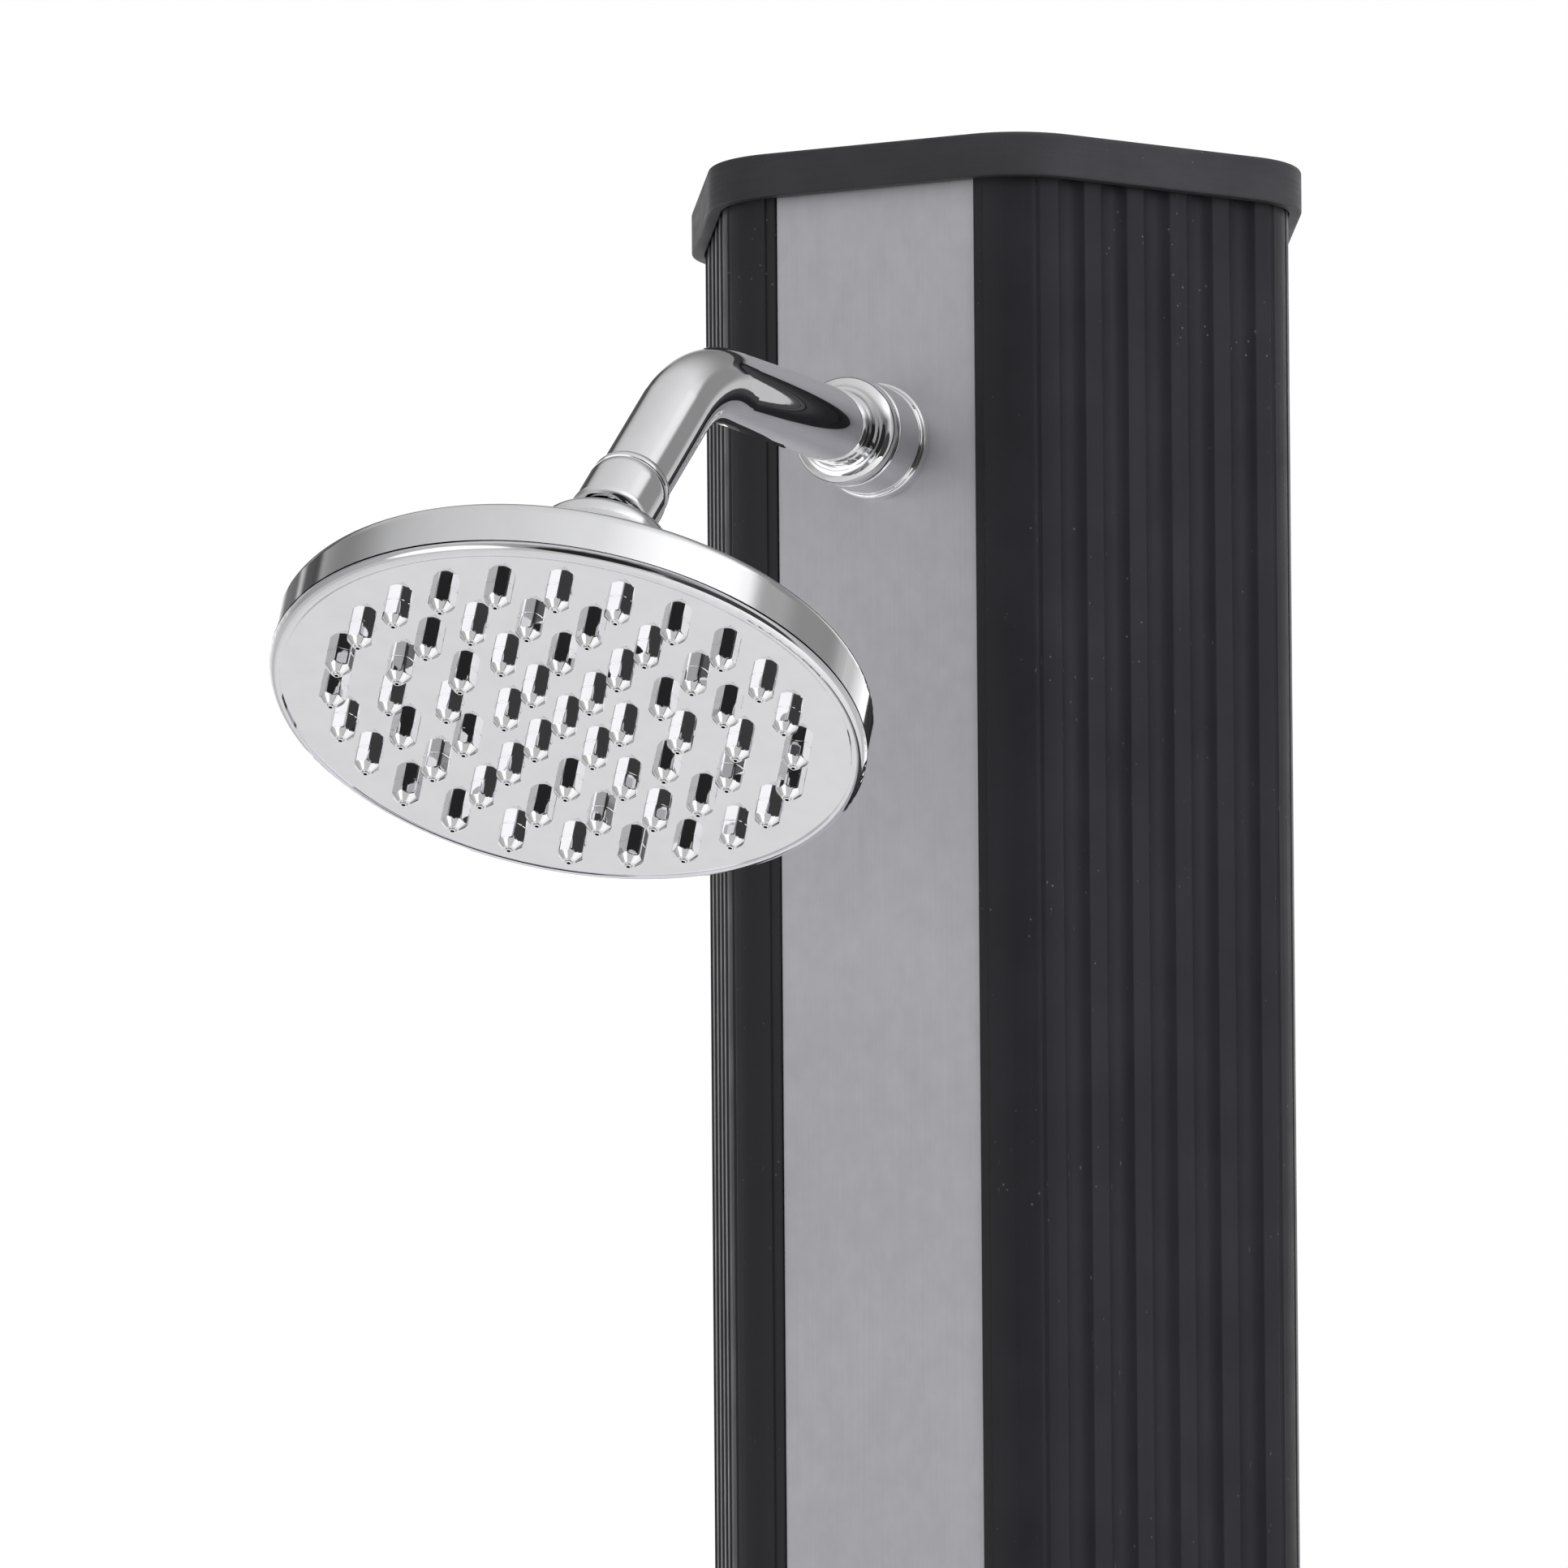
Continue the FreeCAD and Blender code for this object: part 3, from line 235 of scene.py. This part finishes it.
def chrome_plating(name, colour, low, high, waviness):
    """Bright plating: wiped smears in the gloss, hair scratches and a very slight waviness."""
    finish = Finish(name, Metallic=1.0)
    smears = finish.noise(9 * MM, 5.0, stretch=(1, 1, 2.5))
    hairs = finish.noise(0.25 * MM, 2.0, stretch=(40, 1, 1), seed=3)
    finish.set("Base Color", finish.mix(finish.remap(smears, 0.35, 0.7, 0.0, 1.0), colour,
                                        tuple(0.965 * c for c in colour)))
    rough = finish.maths("ADD", finish.remap(smears, 0.4, 0.75, low, high),
                         finish.remap(hairs, 0.62, 0.75, 0.0, 0.03))
    finish.set("Roughness", rough)
    finish.bump(finish.noise(7 * MM, 2.0, seed=4), waviness, 0.3)
    return finish.material


def chrome():
    return chrome_plating("chrome", (0.88, 0.88, 0.895), 0.02, 0.05, 0.02 * MM)


def plated_head():
    return chrome_plating("plated_head", (0.87, 0.87, 0.885), 0.04, 0.08, 0.02 * MM)


def plated_face():
    return chrome_plating("plated_face", (0.89, 0.885, 0.915), 0.04, 0.07, 0.01 * MM)


def plated_nozzle():
    return chrome_plating("plated_nozzle", (0.92, 0.92, 0.93), 0.02, 0.04, 0.005 * MM)


def machined_brass():
    finish = Finish("machined_brass", Metallic=1.0)
    turning = finish.noise(0.3 * MM, 3.0, stretch=(30, 1, 30))
    tarnish = finish.remap(finish.noise(6 * MM, 5.0), 0.42, 0.68, 0.0, 1.0)
    finish.set("Base Color", finish.mix(tarnish, (0.72, 0.53, 0.25), (0.50, 0.35, 0.17)))
    finish.set("Roughness", finish.remap(tarnish, 0.0, 1.0, 0.22, 0.42))
    finish.bump(turning, 0.02 * MM, 0.5)
    return finish.material


def drawn_copper():
    finish = Finish("drawn_copper", Metallic=1.0)
    draw = finish.noise(0.3 * MM, 3.0, stretch=(1, 1, 80))
    stain = finish.remap(finish.noise(14 * MM, 5.0), 0.40, 0.68, 0.0, 1.0)
    finish.set("Base Color", finish.mix(stain, (0.78, 0.42, 0.28), (0.42, 0.21, 0.13)))
    finish.set("Roughness", finish.remap(stain, 0.0, 1.0, 0.25, 0.45))
    finish.bump(draw, 0.015 * MM, 0.5)
    return finish.material


def stainless():
    finish = Finish("stainless", Metallic=1.0)
    grain = finish.noise(0.2 * MM, 3.0)
    finish.set("Base Color", finish.mix(grain, (0.50, 0.50, 0.51), (0.60, 0.60, 0.60)))
    finish.set("Roughness", finish.remap(grain, 0.3, 0.7, 0.24, 0.36))
    finish.bump(grain, 0.01 * MM, 0.5)
    return finish.material


def pipe_plastic():
    finish = Finish("pipe_plastic", IOR=1.5, Specular_IOR_Level=0.45)
    colour = blotches(finish, (0.075, 0.078, 0.082), (0.10, 0.103, 0.11), 50 * MM)
    dusted(finish, colour, (0.35, 0.34, 0.32), 0.5, seed=9)
    finish.set("Roughness", finish.remap(finish.noise(8 * MM, 4.0), 0.3, 0.7, 0.34, 0.46))
    finish.bump(finish.noise(2 * MM, 2.0, stretch=(1, 1, 40)), 0.05 * MM, 0.4)
    return finish.material


def white_plastic():
    finish = Finish("white_plastic", IOR=1.5, Subsurface_Weight=0.1)
    blotches(finish, (0.74, 0.73, 0.69), (0.80, 0.79, 0.76), 12 * MM)
    finish.set("Roughness", finish.remap(finish.noise(4 * MM, 4.0), 0.3, 0.7, 0.34, 0.44))
    finish.bump(finish.noise(0.6 * MM, 2.0), 0.02 * MM, 0.5)
    return finish.material


def rubber():
    finish = Finish("rubber", IOR=1.5, Specular_IOR_Level=0.3)
    blotches(finish, (0.020, 0.020, 0.020), (0.034, 0.034, 0.033), 5 * MM)
    finish.set("Roughness", finish.remap(finish.noise(2 * MM, 4.0), 0.3, 0.7, 0.60, 0.78))
    finish.bump(finish.noise(0.4 * MM, 2.0), 0.03 * MM, 0.5)
    return finish.material


FINISHES = {
    "black_coating": powder_coat(),
    "satin_panel": satin_strip(),
    "foot_metal": cast_coat(),
    "black_plastic": grained_plastic(),
    "screw_steel": stainless(),
    "tank_plastic": pipe_plastic(),
    "white_plastic": white_plastic(),
    "brass": machined_brass(),
    "copper_pipe": drawn_copper(),
    "rubber": rubber(),
    "chrome": chrome(),
    "plated_head": plated_head(),
    "plated_face": plated_face(),
    "plated_nozzle": plated_nozzle(),
}


def dress_nodes():
    """Give every node of the frame the finish of its slot."""
    for part in frame["record"]["subparts"]:
        node = frame["nodes"][part["node"]]
        node.data.materials.clear()
        node.data.materials.append(FINISHES[part["material_slot"]])


# ---- Pieces in finer detail than their CAD nodes ------------------------------------

def lofted(name, rings):
    """A closed mesh through rings of equal length, its last ring joined to its first."""
    count = len(rings[0])
    points = [point for ring in rings for point in ring]
    faces = []
    for index in range(len(rings)):
        here = index * count
        there = (index + 1) % len(rings) * count
        for k in range(count):
            after = (k + 1) % count
            faces.append((here + k, here + after, there + after, there + k))
    mesh = bpy.data.meshes.new(name)
    mesh.from_pydata(points, [], faces)
    return mesh


def finished(mesh, name, body, slot_name, nodes, smooth=40.0):
    """Put a mesh in the scene as a piece that stands for these CAD nodes."""
    shape = bmesh.new()
    shape.from_mesh(mesh)
    bmesh.ops.remove_doubles(shape, verts=shape.verts, dist=1e-7)
    bmesh.ops.recalc_face_normals(shape, faces=shape.faces)
    for edge in shape.edges:
        edge.smooth = edge.calc_face_angle(0.0) < math.radians(smooth)
    for face in shape.faces:
        face.smooth = True
    shape.to_mesh(mesh)
    shape.free()
    mesh.materials.append(FINISHES[slot_name])
    piece = bpy.data.objects.new(name, mesh)
    bpy.context.scene.collection.objects.link(piece)
    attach(piece, body)
    if nodes:
        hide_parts(*nodes)
    return piece


def circle_ring(radius, axial, count, place):
    return [place(radius * math.cos(2 * math.pi * k / count),
                  radius * math.sin(2 * math.pi * k / count), axial) for k in range(count)]


def hexagon_distance(angle, apothem, rounding):
    """Distance from the middle to the outline of a hexagon with rounded corners."""
    off = abs((angle + math.pi / 6) % (math.pi / 3) - math.pi / 6)
    flat = apothem / math.cos(off)
    middle = (apothem - rounding) / math.cos(math.pi / 6)
    swing = math.pi / 6 - off
    reach = middle * math.cos(swing)
    side = middle * math.sin(swing)
    corner = reach + math.sqrt(max(0.0, rounding ** 2 - side ** 2))
    tangent = apothem * math.tan(math.pi / 6) - rounding * math.tan(math.pi / 6)
    on_corner = apothem * math.tan(off) > tangent
    return min(flat, corner) if on_corner else flat


def nozzle_profile():
    """(radius, height from the ball's centre) of the rings of a nozzle's flange and neck."""
    start = -FACE_DEPTH + PLATE_THICKNESS
    return [(5.0, start + 1.2), (5.0, start), (4.0, start), (4.0, -FACE_DEPTH)]


def fine_nozzles():
    """The spray nozzles with softened corners, a rounded shoulder and a bored nib."""
    count = 72
    apothem = NOZZLE_CORNERS / 2 * math.cos(math.pi / 6)
    shoulder = -FACE_DEPTH - NOZZLE_STRAIGHT
    tip = -FACE_DEPTH - NOZZLE_LENGTH
    pitch = math.radians(HEAD_PITCH)

    def laid(turn, x0, y0):
        def place(x, y, z):
            px = x0 + x * math.cos(turn) - y * math.sin(turn)
            py = y0 + x * math.sin(turn) + y * math.cos(turn)
            qy = py * math.cos(pitch) + z * math.sin(pitch)
            qz = -py * math.sin(pitch) + z * math.cos(pitch)
            return (BALL[0] + px * MM, BALL[1] + qy * MM, BALL[2] + qz * MM)
        return place

    joined = bmesh.new()
    for reach, angle, turn in nozzle_places():
        place = laid(math.radians(turn), reach * math.cos(math.radians(angle)),
                     reach * math.sin(math.radians(angle)))
        rings = [circle_ring(r, z, count, place) for r, z in nozzle_profile()]
        cone = 14
        for step in range(-1, cone + 1):
            part = max(step, 0) / cone
            z = -FACE_DEPTH - 0.02 if step < 0 else shoulder + (tip - shoulder) * part
            limit = NOZZLE_CORNERS / 2 + (NOZZLE_TIP - NOZZLE_CORNERS / 2) * part
            ring = []
            for k in range(count):
                a = 2 * math.pi * k / count
                r = hexagon_distance(a, apothem, NOZZLE_ROUNDING)
                if step >= 0:
                    r = min(r, limit)
                ring.append(place(r * math.cos(a), r * math.sin(a), z))
            rings.append(ring)
        nib = tip - NIB_LENGTH
        for r, z in ((1.25, tip - 0.06), (1.12, tip - 0.2), (1.05, nib + 0.1), (0.9, nib),
                     (NOZZLE_BORE, nib), (NOZZLE_BORE, -FACE_DEPTH + PLATE_THICKNESS + 1.2)):
            rings.append(circle_ring(r, z, count, place))
        joined.from_mesh(lofted("nozzle", rings))
    mesh = bpy.data.meshes.new("fine_nozzles")
    joined.to_mesh(mesh)
    joined.free()
    return finished(mesh, "fine_nozzles", "head", "plated_nozzle", ["spray_nozzles"], 24.0)


def nozzle_places():
    """Distance from the axis, bearing and turn of every nozzle, as in the CAD."""
    places = [(0.0, 0.0, NOZZLE_PHASE)]
    for ring in range(1, NOZZLE_RINGS + 1):
        for index in range(6 * ring):
            bearing = NOZZLE_PHASE + 360 * index / (6 * ring)
            outer = 30 if ring == NOZZLE_RINGS else 0
            places.append((ring * NOZZLE_RING_PITCH, bearing, bearing + outer))
    return places


def threaded_inlet():
    """The hose inlet with its real half-inch thread."""
    low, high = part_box("inlet_nipple")
    count = 96
    end = high.y / MM
    thread_start = end - 15.6

    def place(x, z, y):
        return (x * MM, y * MM, (INLET_HEIGHT + z) * MM)

    rings = []
    for r, y in ((8.0, low.y / MM), (8.0, COLUMN_INSIDE - 5.6), (15.0, COLUMN_INSIDE - 5.6),
                 (15.0, COLUMN_INSIDE), (10.9, COLUMN_INSIDE), (10.9, thread_start + 0.4),
                 (10.5, thread_start + 0.8)):
        rings.append(circle_ring(r, y, count, place))
    steps = 130
    for step in range(steps + 1):
        y = thread_start + 0.85 + (end - 0.75 - thread_start - 0.85) * step / steps
        fade = min(1.0, step / 10, (steps - step) / 8)
        ring = []
        for k in range(count):
            a = 2 * math.pi * k / count
            phase = (y / THREAD_PITCH - a / (2 * math.pi)) % 1.0
            valley = 1 - abs(2 * phase - 1)
            cut = THREAD_DEPTH * min(1.0, max(0.0, (valley - 0.12) / 0.76)) * fade
            r = 10.45 - 0.25 * (1 - fade) - cut
            ring.append(place(r * math.cos(a), r * math.sin(a), y))
        rings.append(ring)
    for r, y in ((9.6, end - 0.3), (9.2, end), (6.9, end), (6.5, end - 0.4), (6.5, low.y / MM)):
        rings.append(circle_ring(r, y, count, place))
    mesh = lofted("threaded_inlet", rings)
    return finished(mesh, "threaded_inlet", "post", "brass", ["inlet_nipple"], 35.0)


def ribbed_drain_cap():
    """The drain's screw cap with finger ribs round it."""
    low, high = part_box("drain_cap")
    middle = (low + high) / 2
    start, end = low.y / MM, high.y / MM
    ribs = 20
    count = ribs * 10

    def place(x, z, y):
        return (middle.x + x * MM, y * MM, middle.z + z * MM)

    def ribbed(radius, y, depth):
        ring = []
        for k in range(count):
            a = 2 * math.pi * k / count
            wave = 0.5 - 0.5 * math.cos(ribs * a)
            r = radius - depth * wave ** 2
            ring.append(place(r * math.cos(a), r * math.sin(a), y))
        return ring

    rings = [circle_ring(8.1, start, count, place), ribbed(8.5, start + 0.4, 0.0),
             ribbed(8.5, start + 1.6, 0.0), ribbed(8.5, start + 2.2, 0.55),
             ribbed(8.5, end - 1.4, 0.55), ribbed(8.3, end - 0.7, 0.35),
             ribbed(7.9, end - 0.2, 0.1), circle_ring(7.3, end, count, place),
             circle_ring(6.0, end, count, place), circle_ring(5.6, end - 0.4, count, place),
             circle_ring(0.01, end - 0.5, count, place)]
    bore = ((0.01, start + 4.0), (5.55, start + 4.0), (5.55, start))
    rings += [circle_ring(r, y, count, place) for r, y in bore]
    mesh = lofted("ribbed_drain_cap", rings)
    return finished(mesh, "ribbed_drain_cap", "post", "black_plastic", ["drain_cap"], 35.0)


def fluted_aerator():
    """The tap's aerator with its key slots, and the star-shaped insert in its mouth."""
    low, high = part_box("foot_tap_aerator")
    middle = (low + high) / 2
    count = 192

    def place(x, y, z):
        return (middle.x + x * MM, middle.y + y * MM, z * MM)

    def knurled(radius, z, depth):
        ring = []
        for k in range(count):
            a = 2 * math.pi * k / count
            r = radius - depth * (0.5 - 0.5 * math.cos(48 * a))
            ring.append(place(r * math.cos(a), r * math.sin(a), z))
        return ring

    base, top = low.z / MM, high.z / MM
    rings = [circle_ring(8.05, top, count, place), circle_ring(8.9, top, count, place),
             circle_ring(9.4, top - 0.4, count, place), knurled(9.5, top - 1.2, 0.0),
             knurled(9.5, top - 1.5, 0.3), knurled(9.5, base + 3.0, 0.3),
             knurled(9.5, base + 2.7, 0.0), circle_ring(9.5, base + 1.0, count, place),
             circle_ring(9.2, base + 0.3, count, place), circle_ring(8.5, base, count, place),
             circle_ring(5.6, base, count, place), circle_ring(5.0, base + 0.6, count, place),
             circle_ring(5.0, base + 6.0, count, place), circle_ring(8.05, base + 6.0, count, place)]
    mesh = lofted("fluted_aerator", rings)
    finished(mesh, "fluted_aerator", "post", "chrome", ["foot_tap_aerator"], 35.0)

    star = []
    for z in (base + 1.4, base + 2.6):
        ring = []
        for k in range(count):
            a = 2 * math.pi * k / count
            r = 4.95 - 1.3 * (0.5 - 0.5 * math.cos(12 * a))
            ring.append(place(r * math.cos(a), r * math.sin(a), z))
        star.append(ring)
    inner = [circle_ring(1.2, base + 2.6, count, place), circle_ring(1.2, base + 1.4, count, place)]
    mesh = lofted("aerator_star", star + inner)
    finished(mesh, "aerator_star", "post", "white_plastic", [], 35.0)


# Sizes of the head and its nozzles, in mm, and the ball's centre, in metres
FACE_DEPTH = 65.0
PLATE_THICKNESS = 2.5
NOZZLE_RINGS = 4
NOZZLE_RING_PITCH = 17.0
NOZZLE_PHASE = 22.5
NOZZLE_CORNERS = 8.2
NOZZLE_STRAIGHT = 4.5
NOZZLE_LENGTH = 6.85
NOZZLE_TIP = 1.8
NOZZLE_ROUNDING = 0.45
NIB_LENGTH = 0.7
NOZZLE_BORE = 0.6
HEAD_PITCH = 24.0
BALL = next(joint["pos_m"] for joint in frame["record"]["behaviour"]["joints"]
            if joint["name"] == "head_tilt")

# The hose inlet's height and thread, and the inside of the column's wall, in mm
INLET_HEIGHT = 95.0
THREAD_PITCH = 1.814
THREAD_DEPTH = 1.16
COLUMN_INSIDE = 79.638


# ---- Stage, light and camera --------------------------------------------------------

class Room:
    """The world: white to the camera, and a photographer's room to light and reflections."""

    def __init__(self):
        world = bpy.data.worlds.new("white_room")
        world.use_nodes = True
        bpy.context.scene.world = world
        self.tree = world.node_tree
        self.background = self.tree.nodes["Background"]
        self.direction = self.tree.nodes.new("ShaderNodeTexCoord").outputs["Generated"]
        split = self.tree.nodes.new("ShaderNodeSeparateXYZ")
        self.tree.links.new(self.direction, split.inputs["Vector"])
        self.x, self.y, self.z = split.outputs

    def maths(self, operation, first, second):
        node = self.tree.nodes.new("ShaderNodeMath")
        node.operation = operation
        for socket, value in zip(node.inputs, (first, second)):
            if isinstance(value, bpy.types.NodeSocket):
                self.tree.links.new(value, socket)
            else:
                socket.default_value = value
        return node.outputs["Value"]

    def ease(self, value, low, high, to_low, to_high):
        node = self.tree.nodes.new("ShaderNodeMapRange")
        node.interpolation_type = "SMOOTHSTEP"
        self.tree.links.new(value, node.inputs["Value"])
        for socket, number in (("From Min", low), ("From Max", high),
                               ("To Min", to_low), ("To Max", to_high)):
            node.inputs[socket].default_value = number
        return node.outputs["Result"]

    def ramp(self, value, span, stops):
        """Brightness along a value that runs from -span to span: (place, brightness) stops."""
        fraction = self.maths("ADD", self.maths("DIVIDE", value, 2 * span), 0.5)
        ramp = self.tree.nodes.new("ShaderNodeValToRGB")
        self.tree.links.new(fraction, ramp.inputs["Fac"])
        points = ramp.color_ramp.elements
        while len(points) < len(stops):
            points.new(0.5)
        for point, (place, level) in zip(points, sorted(stops)):
            point.position = place / span / 2 + 0.5
            point.color = (level, level, level, 1.0)
        return ramp.outputs["Color"]

    def around(self, stops):
        """Brightness by bearing: the stops are degrees from +X towards +Y, and a value."""
        turn = self.maths("ARCTAN2", self.y, self.x)
        return self.ramp(self.maths("MULTIPLY", turn, 180 / math.pi), 180.0, stops)

    def blend(self, factor, first, second):
        node = self.tree.nodes.new("ShaderNodeMix")
        for socket, value in zip((node.inputs["Factor"], node.inputs[2], node.inputs[3]),
                                 (factor, first, second)):
            if isinstance(value, bpy.types.NodeSocket):
                self.tree.links.new(value, socket)
            else:
                socket.default_value = value
        return node.outputs[0]

    def towards(self, place, inner, outer):
        """1 within inner degrees of a direction, easing to 0 at outer degrees."""
        dot = self.tree.nodes.new("ShaderNodeVectorMath")
        dot.operation = "DOT_PRODUCT"
        self.tree.links.new(self.direction, dot.inputs[0])
        dot.inputs[1].default_value = Vector(place).normalized()
        return self.ease(dot.outputs["Value"], math.cos(math.radians(outer)),
                         math.cos(math.radians(inner)), 0.0, 1.0)

    def show(self, brightness):
        seen = self.tree.nodes.new("ShaderNodeLightPath")
        strength = self.tree.nodes.new("ShaderNodeMix")
        self.tree.links.new(seen.outputs["Is Camera Ray"], strength.inputs["Factor"])
        self.tree.links.new(brightness, strength.inputs[2])
        strength.inputs[3].default_value = 1.0
        self.tree.links.new(strength.outputs[0], self.background.inputs["Strength"])
        self.background.inputs["Color"].default_value = (1.0, 1.0, 1.0, 1.0)


def white_room():
    """Walls, a ceiling that brightens to the right, and the flags and cards between them."""
    room = Room()
    above = room.ease(room.z, 0.25, 0.62, 0.0, 1.0)
    ceiling = room.ramp(room.x, 1.0, CEILING)
    ceiling = room.maths("MULTIPLY", ceiling, room.ease(room.y, 0.30, 0.75, 1.0, 0.35))
    light = room.blend(above, room.around(WALLS), ceiling)
    beside = room.maths("ADD", room.ease(room.z, 0.52, 0.70, 0.0, 1.0),
                        room.ease(room.z, 0.20, 0.30, 1.0, 0.0))
    light = room.maths("MULTIPLY", light, room.maths("MAXIMUM", room.around(FLAG), beside))
    light = room.blend(room.ease(room.z, -0.45, -0.25, 1.0, 0.0), light, UNDER)
    for place, inner, outer, level in CARDS:
        light = room.blend(room.towards(place, inner, outer), light, level)
    room.show(light)


def pale_floor():
    """A plain round floor under the post."""
    points = [(FLOOR_RADIUS * math.cos(a), FLOOR_RADIUS * math.sin(a), FLOOR_LEVEL)
              for a in (math.radians(5 * k) for k in range(72))]
    mesh = bpy.data.meshes.new("floor")
    mesh.from_pydata(points, [], [list(range(len(points)))])
    floor = bpy.data.objects.new("floor", mesh)
    bpy.context.scene.collection.objects.link(floor)
    finish = Finish("pale_floor", Specular_IOR_Level=0.2)
    blotches(finish, (0.82, 0.82, 0.82), (0.86, 0.86, 0.86), 0.4)
    finish.set("Roughness", finish.remap(finish.noise(0.1, 3.0), 0.3, 0.7, 0.6, 0.7))
    mesh.materials.append(finish.material)


def soft_light(name, place, target, size, power):
    lamp = bpy.data.lights.new(name, "AREA")
    lamp.shape = "RECTANGLE"
    lamp.size, lamp.size_y = size
    lamp.energy = power
    box = bpy.data.objects.new(name, lamp)
    bpy.context.scene.collection.objects.link(box)
    box.location = place
    box.rotation_euler = (Vector(target) - Vector(place)).to_track_quat("-Z", "Y").to_euler()
    box.visible_camera = False
    box.visible_glossy = False


# Brightness of the ceiling from left to right, and of the walls and the flag by bearing
CEILING = ((-1.0, 0.10), (-0.90, 0.10), (-0.80, 0.30), (-0.70, 0.50), (-0.50, 0.62),
           (-0.30, 0.66), (0.05, 0.73), (0.43, 0.84), (0.80, 1.30), (1.0, 1.30))
WALLS = ((-180, 0.34), (-135, 0.46), (-112, 0.50), (-90, 0.34), (-64, 0.16), (-35, 0.16),
         (-15, 0.50), (0, 0.75), (22, 0.45), (46, 0.50), (70, 0.60), (84, 1.2), (104, 1.5),
         (128, 1.3), (160, 0.60), (180, 0.34))
FLAG = ((-180, 1.0), (128, 1.0), (131, 0.18), (146, 0.18), (147, 0.75), (150, 0.75),
        (151, 0.18), (160, 0.18), (163, 1.0), (180, 1.0))
UNDER = 0.55
# Cards in front, at the right and behind: direction, inner and outer degrees, level
CARDS = (((-0.43, -0.88, -0.26), 17, 23, 1.15), ((0.42, -0.88, -0.17), 19, 25, 0.02),
         ((0.86, -0.25, -0.45), 22, 30, 0.05), ((0.80, 0.50, 0.36), 10, 18, 0.40),
         ((0.58, 0.68, 0.42), 12, 20, 0.28))
FLOOR_RADIUS = 2.4
FLOOR_LEVEL = -0.0005


# The photograph looks up at the post from in front and to its right.
CAMERA_SIDE = Vector((0.4283, -0.8861, -0.1773)).normalized()
CAMERA_DISTANCE = 21.0
CAMERA_TARGET = Vector((-0.0570, -0.0281, 1.9938))
PIXELS_PER_METRE = 4204.2
PHOTO_WIDTH = 1932.0
CAMERA_ROLL = 0.0076


def photo_camera():
    data = bpy.data.cameras.new("photo_camera")
    camera = bpy.data.objects.new("photo_camera", data)
    bpy.context.scene.collection.objects.link(camera)
    data.sensor_width = 36.0
    data.lens = data.sensor_width * CAMERA_DISTANCE / (PHOTO_WIDTH / PIXELS_PER_METRE)
    data.clip_start = 1.0
    data.clip_end = 100.0
    camera.location = CAMERA_TARGET + CAMERA_SIDE * CAMERA_DISTANCE
    aim = (-CAMERA_SIDE).to_track_quat("-Z", "Y").to_matrix()
    roll = Matrix.Rotation(-CAMERA_ROLL, 3, "Z")
    camera.rotation_euler = (aim @ roll).to_euler()
    bpy.context.scene.camera = camera


dress_nodes()
fine_nozzles()
threaded_inlet()
ribbed_drain_cap()
fluted_aerator()
white_room()
pale_floor()
soft_light("right_box", (3.2, -0.6, 2.6), (0, 0, 1.7), (1.6, 2.4), 85.0)
soft_light("floor_wash", (-1.4, 1.7, 2.6), (-0.9, 1.0, 0), (2.0, 2.0), 12.0)
photo_camera()
bpy.context.scene.view_settings.view_transform = "Standard"
